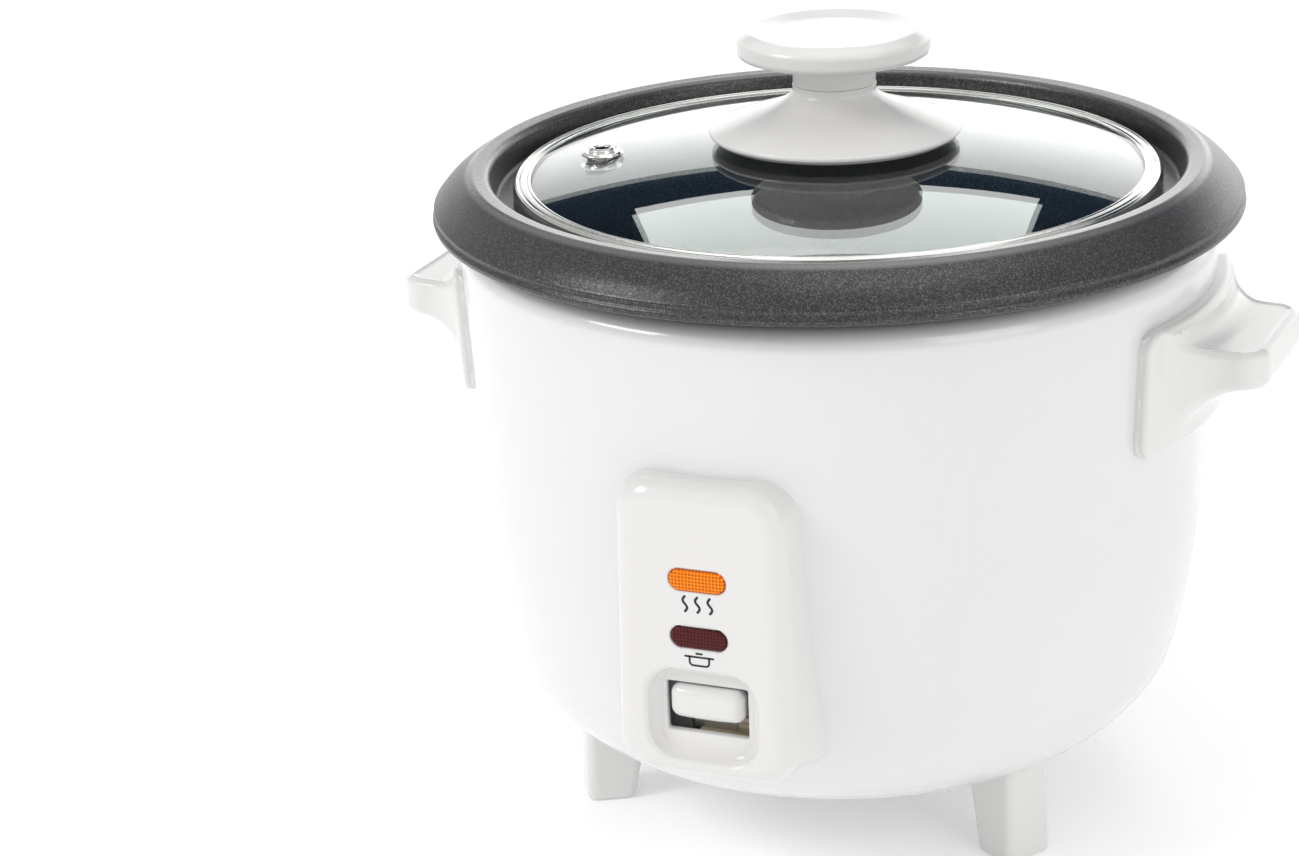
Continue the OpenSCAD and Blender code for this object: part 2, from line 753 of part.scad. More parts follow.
module control_panel() {
    color("white") difference() {
        union() {
            difference() {
                panel_form(0);
                panel_form(panel_wall);
                // Stay open at the back
                translate([0, 2, 0]) intersection() {
                    panel_form(panel_wall);
                    translate([-50, face_y + panel_wall + 1, 0]) cube([100, 60, body_h]);
                }
            }
            // Cup round the switch
            front_view(face_y + 1, face_y + recess_depth + recess_floor_t) translate([0, recess_z])
                round_rect(recess_w + 2 * cup_t, recess_h + 2 * cup_t, recess_r + cup_t);
            // Screw bosses
            intersection() {
                panel_form(1);
                panel_screw_places() translate([0, 0, -12]) cylinder(r = 3.4, h = 40, $fn = 32);
            }
        }
        body_solid();
        front_view(face_y - 1, face_y + recess_depth) translate([0, recess_z])
            round_rect(recess_w, recess_h, recess_r);
        translate([-switch_w / 2 - 1, face_y, aperture_bottom])
            cube([switch_w + 2, 8, aperture_top - aperture_bottom]);
        for (z = [warm_z, cook_z]) front_view(face_y - 1, face_y + panel_wall + 1) translate([0, z])
            stadium(lens_w + 2 * lens_gap, lens_h + 2 * lens_gap);
        panel_screw_places() translate([0, 0, -2]) cylinder(r = 1.5, h = 7, $fn = 24);
    }
}

module panel_screws() {
    color("silver") difference() {
        panel_screw_places() translate([0, 0, -3]) screw(1.5, 7.5, 3, 1.5);
        difference() {
            body_solid();
            body_solid(body_wall);
            panel_screw_places() translate([0, 0, -8]) cylinder(r = 1.5, h = 16, $fn = 24);
        }
    }
}

module lens(z) {
    front_view(face_y - 0.4, face_y + panel_wall) translate([0, z]) stadium(lens_w, lens_h);
    front_view(face_y + panel_wall, face_y + panel_wall + 1) translate([0, z])
        stadium(lens_w + 2.4, lens_h + 2.4);
}

module warm_lens() { color("orange") lens(warm_z); }
module cook_lens() { color("maroon") lens(cook_z); }

lamp_y = face_y + panel_wall + 1 + 2.2;

module lamp_holder() {
    z0 = recess_z + recess_h / 2 + cup_t; // stands on the cup round the switch
    y0 = face_y + panel_wall;
    color("white") difference() {
        translate([-10.5, y0, z0]) cube([21, 5.2, lamp_top - z0]);
        for (z = [warm_z, cook_z]) {
            front_view(y0 - 1, y0 + 1) translate([0, z]) stadium(lens_w + 2.4, lens_h + 2.4);
            front_view(y0 - 1, lamp_y) translate([0, z]) square([12, 4.4], center = true);
            translate([-6, lamp_y, z]) rotate([0, 90, 0]) cylinder(r = 2.2, h = 12, $fn = 32);
        }
    }
}

module lamp(z) {
    translate([-6, lamp_y, z]) rotate([0, 90, 0]) cylinder(r = 2.2, h = 12, $fn = 32);
}

module warm_lamp() { color("orange") lamp(warm_z); }
module cook_lamp() { color("orange") lamp(cook_z); }

// ---- Power inlet ----

function inlet_block_w() = socket_w + 2 * inlet_wall;
function inlet_block_h() = socket_h + 2 * inlet_wall;
function inlet_screw_x() = inlet_block_w() / 2 + inlet_ear / 2;

module inlet_pin_shapes() {
    back = inlet_y - inlet_depth;
    for (s = [-1, 1]) translate([s * pin_x - 1, back - 11, inlet_z - 2]) cube([2, inlet_depth + 9, 4]);
    translate([-1, back - 11, inlet_z + earth_up - 2]) cube([2, inlet_depth + 9, 4]);
}

module inlet_housing() {
    back = inlet_y - inlet_depth;
    color("black") difference() {
        union() {
            front_view(back - 2, inlet_y) translate([0, inlet_z])
                square([inlet_block_w(), inlet_block_h()], center = true);
            difference() {
                front_view(inlet_y - 20, inlet_y - 0.5) translate([0, inlet_z])
                    round_rect(inlet_block_w() + 2 * inlet_ear, inlet_block_h() - 4, 4);
                body_solid();
            }
        }
        front_view(back, inlet_y + 1) translate([0, inlet_z]) difference() {
            square([socket_w, socket_h], center = true);
            for (s = [-1, 1]) translate([s * socket_w / 2, socket_h / 2]) rotate([0, 0, 45])
                square([7, 7], center = true);
        }
        inlet_pin_shapes();
        for (s = [-1, 1]) translate([s * inlet_screw_x(), inlet_y - 20, inlet_z])
            rotate([-90, 0, 0]) cylinder(r = 1.6, h = 22, $fn = 24);
    }
}

module inlet_pins() {
    color("gold") inlet_pin_shapes();
}

module inlet_screws() {
    color("silver") for (s = [-1, 1]) translate([s * inlet_screw_x(), inlet_y - 0.5, inlet_z])
        rotate([90, 0, 0]) screw(1.6, 14, 3.2, 1.6);
}

// ---- Wiring ----

function smooth(p, i) = let (
    n = len(p) - 1,
    k = min(floor(i), n - 1),
    f = i - k,
    a = p[max(k - 1, 0)], b = p[k], c = p[k + 1], d = p[min(k + 2, n)])
    0.5 * (2 * b + (c - a) * f + (2 * a - 5 * b + 4 * c - d) * f * f
        + (3 * b - a - 3 * c + d) * f * f * f);

// A round wire through points p
module wire(p, r = 1.1) {
    sides = 8;
    steps = (len(p) - 1) * 5;
    path = [for (i = [0 : steps]) smooth(p, i / 5)];
    rings = [for (i = [0 : steps], j = [0 : sides - 1]) let (
        t0 = path[min(i + 1, steps)] - path[max(i - 1, 0)],
        t = t0 / norm(t0),
        u0 = cross(t, [0.3, 0.2, 1]),
        u = u0 / norm(u0),
        v = cross(t, u),
        a = 360 * j / sides)
        path[i] + r * (cos(a) * u + sin(a) * v)];
    walls = [for (i = [0 : steps - 1], j = [0 : sides - 1]) let (k = (j + 1) % sides)
        [i * sides + k, (i + 1) * sides + k, (i + 1) * sides + j, i * sides + j]];
    first = [for (j = [sides - 1 : -1 : 0]) sides - 1 - j];
    last = [for (j = [sides - 1 : -1 : 0]) steps * sides + j];
    polyhedron(points = rings, faces = concat(walls, [first, last]), convexity = 10);
}

module wiring() {
    low = foot_h + 12; // clear space under the lever
    pin_y = inlet_y - inlet_depth - 11;
    switch_y = pivot_y + 17;
    switch_low = floor_under - sheet_t - 10;
    tab_low = leg_bottom - 12;
    tabs = [for (a = element_gap) element_ring_r * [cos(a), sin(a)]];
    color("firebrick") wire([[pin_x, pin_y, inlet_z], [pin_x + 1, pin_y - 7, inlet_z - 2],
        [pin_x + 8, pin_y - 18, low], [26, 10, low], [20, -20, low],
        [11, switch_y + 4, low + 3], [10.4, switch_y, switch_low]]);
    color("steelblue") wire([[-pin_x, pin_y, inlet_z], [-pin_x - 1, pin_y - 6, inlet_z - 3],
        [tabs[0][0] + 1, tabs[0][1] + 4, low + 1], [tabs[0][0], tabs[0][1], tab_low]]);
    color("steelblue") wire([[tabs[1][0], tabs[1][1], tab_low], [tabs[1][0] + 2, tabs[1][1] - 5, low],
        [-28, -18, low - 2], [-4, -44, low - 1],
        [9, switch_y - 6, low + 4], [10.4, switch_y - 5, switch_low]]);
}

// ---- Pot ----

module inner_pot() {
    low = plate_top + seat_gap;
    in_r = pot_r - pot_wall;
    cone = rim_r - crown_out_r;
    lip_z = crown_z - rim_drop;
    bead_z = lip_z - lip_bead_r;
    color("dimgray") rotate_extrude($fn = 144) polygon(concat(
        [[0, low], [pot_r - pot_corner_r, low]],
        arc([pot_r - pot_corner_r, low + pot_corner_r], pot_corner_r, 80, 0, 8),
        [[pot_r, seat_z - pot_wall - 1.2], [seat_out_r + 1, seat_z - pot_wall],
            [seat_out_r + pot_wall + 0.6, seat_z],
            [crown_in_r + pot_wall * 0.9, crown_z - pot_wall],
            [crown_out_r - 0.5, crown_z - pot_wall - 0.2],
            [rim_r - 2 * lip_bead_r, bead_z + 0.4]],
        arc([rim_r - lip_bead_r, bead_z], lip_bead_r, 170, -70, 10),
        [[crown_out_r + cone * 0.5, (crown_z + lip_z) / 2 + 0.9], [crown_out_r, crown_z],
            [crown_in_r, crown_z - 0.5],
            [seat_out_r + 0.4, seat_z + 0.6], [seat_out_r - 0.4, seat_z],
            [seat_in_r - pot_wall + 1.4, seat_z], [in_r, seat_z - 1.4],
            [in_r, low + pot_corner_r]],
        arc([pot_r - pot_corner_r, low + pot_corner_r], pot_corner_r - pot_wall, 10, 90, 7),
        [[0, low + pot_wall]]));
}

// ---- Lid ----

function dome_z(r) = glass_edge_z + dome_rise - dome_r + sqrt(pow(dome_r, 2) - pow(r, 2));

module lid_glass() {
    n = 16;
    under = [for (i = [0 : n]) let (r = knob_hole_r + (glass_edge_r - knob_hole_r) * i / n) [r, dome_z(r)]];
    over = [for (i = [n : -1 : 0]) [under[i][0], under[i][1] + glass_t]];
    color([0.75, 0.85, 0.82, 0.45]) difference() {
        rotate_extrude() polygon(concat(under, over));
        rotate([0, 0, vent_angle]) translate([vent_ring_r, 0, glass_edge_z])
            cylinder(r = vent_r, h = 30, $fn = 48);
    }
}

module lid_ring() {
    inner = ring_r - ring_w;
    glass_low = dome_z(glass_edge_r);
    color("silver") difference() {
        rotate_extrude() polygon(concat(
            [[inner + 1.2, ring_z], [ring_r - 1.2, ring_z]],
            arc([ring_r - 1.2, ring_z + 1.2], 1.2, 80, 0, 5),
            arc([ring_r - 1.6, glass_low + glass_t - 0.6], 1.6, 0, -80, 6),
            [[inner + 0.8, glass_low + glass_t + 1.35], [inner, glass_low + glass_t + 0.9],
                [inner, glass_low + glass_t], [inner, ring_z + 1.2]]));
        lid_glass();
    }
}

module vent_grommet() {
    top = dome_z(vent_ring_r) + glass_t;
    under = dome_z(vent_ring_r);
    color("silver") difference() {
        rotate([0, 0, vent_angle]) translate([vent_ring_r, 0, 0]) rotate_extrude($fn = 64) polygon([
            [1.8, under - 1.6], [5, under - 1.6], [5.4, under - 1.2], [5.4, top + 1.2],
            [4.8, top + 1.7], [3.4, top + 1.7], [3.2, top + 2.4], [2.4, top + 2.6], [1.8, top + 2.2]]);
        // The glass runs through its waist
        lid_glass();
    }
}

module knob_base() {
    r = knob_foot_d / 2;
    z0 = glass_top_z - 0.4;
    neck = knob_neck_d / 2;
    h = knob_h - knob_disc_t - 7;
    color("white") difference() {
        rotate_extrude() polygon(concat(
            [[knob_hole_r - 0.9, z0 + 3], [9, z0 + 3], [9, z0], [12, z0],
                [r - 1, z0 + 0.5], [r, z0 + 1.3], [r, z0 + 2.1], [r - 1, z0 + 3]],
            [for (i = [0 : 10]) let (t = i / 10)
                [neck + (r - 4 - neck) * pow(1 - t, 2.4), z0 + 3.6 + (h - 4.6) * pow(t, 0.8)]],
            [[neck, z0 + h], [knob_hole_r - 0.9, z0 + h]]));
        lid_glass();
    }
}

module knob_top() {
    z0 = glass_top_z - 0.4 + knob_h - knob_disc_t - 7;
    z1 = glass_top_z + knob_h;
    r = knob_d / 2;
    neck = knob_neck_d / 2;
    e = 2.2;
    color("white") rotate_extrude() polygon(concat(
        [[0, z0 + 5], [knob_hole_r - 0.9, z0 + 5], [knob_hole_r - 0.9, z0], [neck, z0],
            [neck, z1 - knob_disc_t - 1], [neck + 1, z1 - knob_disc_t]],
        arc([r - e, z1 - knob_disc_t + e], e, 80, 0, 6),
        arc([r - e, z1 - e], e, 0, -80, 6),
        [[r - 5, z1 - 0.3], [r * 0.5, z1 - 0.9], [0, z1 - 1.1]]));
}

module knob_screw() {
    z0 = dome_z(0) - 1.5 - 1.2;
    color("silver") translate([0, 0, z0])
        screw(knob_hole_r - 0.9, glass_top_z - 0.4 + knob_h - knob_disc_t - 7 + 5 - z0, 5, 2.4);
}

module knob_washer() {
    color("silver") translate([0, 0, dome_z(0) - 2.7]) difference() {
        cylinder(r = 8, h = 1.2);
        translate([0, 0, -1]) cylinder(r = knob_hole_r - 0.9, h = 4, $fn = 48);
    }
}

module knob_gasket() {
    color("white") difference() {
        translate([0, 0, dome_z(0) - 1.5]) cylinder(r = 9, h = 1.5);
        translate([0, 0, dome_z(0) - 3]) cylinder(r = knob_hole_r - 0.9, h = 6, $fn = 48);
        lid_glass();
    }
}

outer_body();
inner_liner();
base_cover();
cover_screws();
foot_left();
foot_right();
foot_rear();
foot_screws();
handle_left();
handle_right();
handle_screws();
support_posts();
post_screws();
heating_plate();
heating_element();
element_terminals();
heater_screws();
thermostat_bracket();
bracket_rivets();
thermostat_sleeve();
thermostat_spring();
thermostat_cap();
ferrite_disc();
magnet_rod();
magnet_disc();
lever_bracket();
lever_pin();
lever_arm();
lever_knob();
microswitch();
thermal_fuse();
keep_warm_heater();
control_panel();
panel_screws();
warm_lens();
cook_lens();
lamp_holder();
warm_lamp();
cook_lamp();
inlet_housing();
inlet_pins();
inlet_screws();
wiring();
inner_pot();
lid_glass();
lid_ring();
vent_grommet();
knob_top();
knob_base();
knob_screw();
knob_washer();
knob_gasket();
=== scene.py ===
"""Looks of a small electric rice cooker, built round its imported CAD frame.

Lengths in the shape functions are millimetres; meshes are scaled to metres when they are made.
"""

import json
import math

import bmesh
import bpy
import numpy as np
from mathutils import Matrix, Vector


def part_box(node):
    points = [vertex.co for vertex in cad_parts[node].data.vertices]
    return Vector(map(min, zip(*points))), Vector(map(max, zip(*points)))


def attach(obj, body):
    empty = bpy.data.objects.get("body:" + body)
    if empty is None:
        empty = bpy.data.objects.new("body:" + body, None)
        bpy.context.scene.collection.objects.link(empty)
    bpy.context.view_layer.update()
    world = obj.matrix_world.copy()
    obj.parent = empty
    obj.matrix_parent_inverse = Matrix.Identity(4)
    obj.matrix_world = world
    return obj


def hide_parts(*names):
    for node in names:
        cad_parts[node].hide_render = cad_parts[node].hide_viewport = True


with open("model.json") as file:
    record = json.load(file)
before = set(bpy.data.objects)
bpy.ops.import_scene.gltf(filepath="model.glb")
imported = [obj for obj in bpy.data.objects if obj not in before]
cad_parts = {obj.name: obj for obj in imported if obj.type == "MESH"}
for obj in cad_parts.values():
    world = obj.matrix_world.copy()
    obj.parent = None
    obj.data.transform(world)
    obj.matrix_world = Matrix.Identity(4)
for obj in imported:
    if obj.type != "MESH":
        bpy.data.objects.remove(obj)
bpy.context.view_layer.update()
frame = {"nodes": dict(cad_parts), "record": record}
record = frame["record"]

MM = 0.001
TAU = 2 * math.pi


# ---------------------------------------------------------------- CAD sizes, in millimetres


def cad_box(node):
    low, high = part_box(node)
    return [v / MM for v in low], [v / MM for v in high]


BODY_LOW, BODY_HIGH = cad_box("outer_body")
POT_LOW, POT_HIGH = cad_box("inner_pot")
GLASS_LOW, GLASS_HIGH = cad_box("lid_glass")
RING_LOW, RING_HIGH = cad_box("lid_ring")
KNOB_HIGH = cad_box("knob_top")[1]
FLARE_LOW, FLARE_HIGH = cad_box("knob_base")
PANEL_LOW = cad_box("control_panel")[0]
WARM_LOW, WARM_HIGH = cad_box("warm_lens")
COOK_LOW, COOK_HIGH = cad_box("cook_lens")
LEVER_LOW, LEVER_HIGH = cad_box("lever_knob")
GRIP_LOW, GRIP_HIGH = cad_box("handle_right")
LEG_LOW, LEG_HIGH = cad_box("foot_rear")

BODY_R = BODY_HIGH[0]
BODY_TOP = BODY_HIGH[2]
BODY_BOTTOM = BODY_LOW[2]


# ---------------------------------------------------------------- mesh helpers


SAME_POINT, ON_AXIS, TINY = 1e-4, 1e-6, 1e-9


def mesh_object(name, verts, faces, normals=None, smooth=True):
    """A mesh object from vertices in millimetres, with its own normals if they are given."""
    data = bpy.data.meshes.new(name)
    verts = np.asarray(verts, float) * MM
    data.from_pydata([tuple(v) for v in verts], [], [tuple(int(i) for i in f) for f in faces])
    data.update()
    if smooth:
        data.polygons.foreach_set("use_smooth", [True] * len(data.polygons))
    if normals is not None:
        data.normals_split_custom_set_from_vertices([tuple(n) for n in normals])
    obj = bpy.data.objects.new(name, data)
    bpy.context.scene.collection.objects.link(obj)
    return obj


def arc(cx, cz, r, a, b, n):
    """Points of an arc in the (radius, height) plane; angles in degrees from outwards, upwards."""
    return [
        (cx + r * math.cos(math.radians(a + (b - a) * i / n)),
         cz + r * math.sin(math.radians(a + (b - a) * i / n)))
        for i in range(n + 1)
    ]


def soften(points, closed=False, steps=6):
    """Rounds the corners of an outline. Each point is (r, z) or (r, z, corner radius)."""
    out, n = [], len(points)
    for i, p in enumerate(points):
        radius = p[2] if len(p) > 2 else 0
        if radius <= 0 or (not closed and i in (0, n - 1)):
            out.append((p[0], p[1]))
            continue
        here = np.array(p[:2], float)
        before = np.array(points[i - 1][:2], float) - here
        after = np.array(points[(i + 1) % n][:2], float) - here
        lb, la = np.linalg.norm(before), np.linalg.norm(after)
        before, after = before / lb, after / la
        half = math.acos(max(-1, min(1, float(before @ after)))) / 2
        reach = min(radius / math.tan(half), 0.49 * lb, 0.49 * la)
        radius = reach * math.tan(half)
        middle = before + after
        centre = here + middle / np.linalg.norm(middle) * radius / math.sin(half)
        start, end = here + before * reach - centre, here + after * reach - centre
        turn = math.atan2(start[0] * end[1] - start[1] * end[0], float(start @ end))
        for k in range(steps + 1):
            a = turn * k / steps
            c, s = math.cos(a), math.sin(a)
            q = centre + [c * start[0] - s * start[1], s * start[0] + c * start[1]]
            out.append((float(q[0]), float(q[1])))
    return out


def revolve(name, outline, segments=256, centre=(0.0, 0.0)):
    """Spins an outline round a vertical axis. It runs from the axis to the axis, or is a loop."""
    pts = [outline[0]]
    for p in outline[1:]:
        if math.dist(p, pts[-1]) > SAME_POINT:
            pts.append(p)
    on_axis = pts[0][0] < ON_AXIS and pts[-1][0] < ON_AXIS
    if not on_axis and math.dist(pts[0], pts[-1]) < SAME_POINT:
        pts.pop()
    p = np.array(pts, float)
    n = len(p)
    after = np.roll(p, -1, 0)
    area = float(np.sum(p[:, 0] * after[:, 1] - after[:, 0] * p[:, 1]))
    if area < 0:
        p = p[::-1].copy()
    seg = np.roll(p, -1, 0) - p
    normal = np.stack([seg[:, 1], -seg[:, 0]], 1)  # outwards for an anticlockwise outline
    if on_axis:
        normal[-1] = 0
    vertex_normal = normal + np.roll(normal, 1, 0)
    vertex_normal /= np.maximum(np.linalg.norm(vertex_normal, axis=1), TINY)[:, None]
    a = np.arange(segments) * TAU / segments
    ca, sa = np.cos(a), np.sin(a)
    verts, normals, index = [], [], []
    for (r, z), (nr, nz) in zip(p, vertex_normal):
        if r < ON_AXIS:
            index.append([len(verts)] * segments)
            verts.append((centre[0], centre[1], z))
            normals.append((0, 0, 1 if nz > 0 else -1))
        else:
            index.append(list(range(len(verts), len(verts) + segments)))
            verts.extend(zip(centre[0] + r * ca, centre[1] + r * sa, [z] * segments))
            normals.extend(zip(nr * ca, nr * sa, [nz] * segments))
    faces = []
    for i in range(n - 1 if on_axis else n):
        lower, upper = index[i], index[(i + 1) % n]
        for k in range(segments):
            m = (k + 1) % segments
            ring = []
            for v in (lower[k], lower[m], upper[m], upper[k]):
                if v not in ring:
                    ring.append(v)
            if len(ring) > 2:
                faces.append(ring)
    return mesh_object(name, verts, faces, normals)


# Signed distances, negative inside. Arguments are arrays in millimetres.


def join_round(a, b, r):
    """What is in either shape, with a hollow round of radius r between them."""
    return np.maximum(r, np.minimum(a, b)) - np.hypot(np.maximum(r - a, 0), np.maximum(r - b, 0))


def meet_round(a, b, r):
    """What is in both shapes, with an edge round of radius r."""
    return np.minimum(-r, np.maximum(a, b)) + np.hypot(np.maximum(r + a, 0), np.maximum(r + b, 0))


def rect(u, v, width, height, r):
    """A rectangle with corners of radius r."""
    qu, qv = np.abs(u) - width / 2 + r, np.abs(v) - height / 2 + r
    return np.hypot(np.maximum(qu, 0), np.maximum(qv, 0)) + np.minimum(np.maximum(qu, qv), 0) - r


GRADIENT_STEP = 0.02
MOVES_ONTO_SURFACE = 4


def implicit(name, f, low, high, step):
    """The zero surface of f as quads on a grid, moved onto the surface, with its true normals."""
    axes = [np.arange(low[i], high[i] + step, step) for i in range(3)]
    x, y, z = np.meshgrid(*axes, indexing="ij")
    d = f(x, y, z)
    inside = d < 0
    cells = tuple(s - 1 for s in d.shape)
    total, count = np.zeros(cells + (3,)), np.zeros(cells)
    for axis in range(3):
        others = [i for i in range(3) if i != axis]
        for offset in ((0, 0), (0, 1), (1, 0), (1, 1)):
            first = [slice(None)] * 3
            first[axis] = slice(0, cells[axis])
            second = list(first)
            second[axis] = slice(1, cells[axis] + 1)
            for o, k in zip(others, offset):
                first[o] = second[o] = slice(k, cells[o] + k)
            d0, d1 = d[tuple(first)], d[tuple(second)]
            crosses = (d0 < 0) != (d1 < 0)
            t = np.where(crosses, d0 / np.where(crosses, d0 - d1, 1), 0)
            total[..., axis] += np.where(crosses, t, 0)
            for o, k in zip(others, offset):
                total[..., o] += np.where(crosses, k, 0)
            count += crosses
    used = count > 0
    index = np.full(cells, -1)
    index[used] = np.arange(int(used.sum()))
    where = np.argwhere(used)
    origin = np.array([a[0] for a in axes])
    p = origin + (where + total[used] / count[used][:, None]) * step
    faces = []
    for axis in range(3):
        b, c = [(1, 2), (2, 0), (0, 1)][axis]
        first = [slice(1, -1)] * 3
        first[axis] = slice(0, -1)
        second = list(first)
        second[axis] = slice(1, None)
        flip = inside[tuple(first)] != inside[tuple(second)]
        starts = inside[tuple(first)]
        at = np.argwhere(flip)
        out = starts[flip]
        grid = at.copy()
        grid[:, b] += 1
        grid[:, c] += 1

        def cell(db, dc):
            q = grid.copy()
            q[:, b] += db
            q[:, c] += dc
            return index[q[:, 0], q[:, 1], q[:, 2]]

        quad = np.stack([cell(-1, -1), cell(0, -1), cell(0, 0), cell(-1, 0)], 1)
        quad[~out] = quad[~out][:, ::-1]
        faces.append(quad)
    faces = np.concatenate(faces)

    def gradient(q):
        g = np.empty_like(q)
        for i in range(3):
            e = np.zeros(3)
            e[i] = GRADIENT_STEP
            g[:, i] = (f(*(q + e).T) - f(*(q - e).T)) / (2 * GRADIENT_STEP)
        return g

    for _ in range(MOVES_ONTO_SURFACE):
        g = gradient(p)
        move = f(*p.T)[:, None] * g / np.maximum((g * g).sum(1), 0.05)[:, None]
        far = np.linalg.norm(move, axis=1)
        p = p - move * np.minimum(1, 0.6 * step / np.maximum(far, TINY))[:, None]
    g = gradient(p)
    normals = g / np.maximum(np.linalg.norm(g, axis=1), TINY)[:, None]
    return mesh_object(name, p, faces, normals)


def face_outwards(obj):
    bm = bmesh.new()
    bm.from_mesh(obj.data)
    bmesh.ops.recalc_face_normals(bm, faces=bm.faces)
    bm.to_mesh(obj.data)
    bm.free()


def shade_smooth(obj, angle=0.6):
    """Smooth shading, with edges sharper than the angle (in radians) kept sharp."""
    bm = bmesh.new()
    bm.from_mesh(obj.data)
    for face in bm.faces:
        face.smooth = True
    for edge in bm.edges:
        edge.smooth = edge.calc_face_angle(0) < angle
    bm.to_mesh(obj.data)
    bm.free()


def apply_modifiers(obj):
    """Puts the mesh that the modifiers give in place of the object's own."""
    bpy.context.view_layer.update()
    evaluated = obj.evaluated_get(bpy.context.evaluated_depsgraph_get())
    data = bpy.data.meshes.new_from_object(evaluated)
    old = obj.data
    obj.modifiers.clear()
    obj.data = data
    bpy.data.meshes.remove(old)


def turned_copy(name, obj, degrees):
    """A copy of obj, turned about the vertical axis."""
    other = bpy.data.objects.new(name, obj.data.copy())
    other.data.transform(Matrix.Rotation(math.radians(degrees), 4, "Z"))
    bpy.context.scene.collection.objects.link(other)
    return other


def solid_box(name, low, high):
    (x0, y0, z0), (x1, y1, z1) = low, high
    verts = [(x, y, z) for x in (x0, x1) for y in (y0, y1) for z in (z0, z1)]
    faces = [(0, 1, 3, 2), (4, 6, 7, 5), (0, 4, 5, 1), (2, 3, 7, 6), (0, 2, 6, 4), (1, 5, 7, 3)]
    return mesh_object(name, verts, faces, smooth=False)


def cut(obj, *tools):
    """Takes the tools out of obj, and removes them."""
    for tool in tools:
        m = obj.modifiers.new("cut", "BOOLEAN")
        m.operation, m.solver, m.object = "DIFFERENCE", "EXACT", tool
    apply_modifiers(obj)
    for tool in tools:
        bpy.data.objects.remove(tool)


# ---------------------------------------------------------------- materials


class Shader:
    """A material with a Principled shader and short calls to add procedural detail."""

    def __init__(self, name, base, rough, metal=0.0, **values):
        self.material = bpy.data.materials.new(name)
        self.material.use_nodes = True
        self.tree = self.material.node_tree
        self.shader = self.tree.nodes["Principled BSDF"]
        self.set("Base Color", (*base, 1.0))
        self.set("Roughness", rough)
        self.set("Metallic", metal)
        for key, value in values.items():
            self.set(key.replace("_", " "), value)
        self.coords = None

    def set(self, socket, value):
        self.shader.inputs[socket].default_value = value

    def node(self, kind, **values):
        node = self.tree.nodes.new(kind)
        for key, value in values.items():
            if key in node.inputs:
                node.inputs[key].default_value = value
            else:
                setattr(node, key, value)
        return node

    def link(self, a, b):
        self.tree.links.new(a, b)

    def place(self):
        if self.coords is None:
            self.coords = self.node("ShaderNodeTexCoord").outputs["Object"]
        return self.coords

    def noise(self, scale, detail=2.0, rough=0.5, stretch=None):
        node = self.node("ShaderNodeTexNoise", Scale=scale, Detail=detail, Roughness=rough)
        source = self.place()
        if stretch:
            mapping = self.node("ShaderNodeMapping", Scale=stretch)
            self.link(source, mapping.inputs["Vector"])
            source = mapping.outputs["Vector"]
        self.link(source, node.inputs["Vector"])
        return node.outputs["Fac"]

    def cells(self, scale, flat=(1, 1, 1)):
        node = self.node("ShaderNodeTexVoronoi", Scale=scale)
        mapping = self.node("ShaderNodeMapping", Scale=flat)
        self.link(self.place(), mapping.inputs["Vector"])
        self.link(mapping.outputs["Vector"], node.inputs["Vector"])
        return node

    def ramp(self, source, stops):
        node = self.node("ShaderNodeValToRGB")
        elements = node.color_ramp.elements
        while len(elements) < len(stops):
            elements.new(0.5)
        for element, (at, colour) in zip(elements, stops):
            element.position = at
            element.color = (*colour, 1.0) if len(colour) == 3 else colour
        self.link(source, node.inputs["Fac"])
        return node.outputs["Color"]

    def span(self, source, low, high, from_low=0.0, from_high=1.0):
        node = self.node("ShaderNodeMapRange")
        node.inputs["From Min"].default_value = from_low
        node.inputs["From Max"].default_value = from_high
        node.inputs["To Min"].default_value = low
        node.inputs["To Max"].default_value = high
        self.link(source, node.inputs["Value"])
        return node.outputs["Result"]

    def bump(self, source, strength, distance):
        node = self.node("ShaderNodeBump", Strength=strength, Distance=distance)
        self.link(source, node.inputs["Height"])
        self.link(node.outputs["Normal"], self.shader.inputs["Normal"])

    def into(self, socket, source):
        self.link(source, self.shader.inputs[socket])


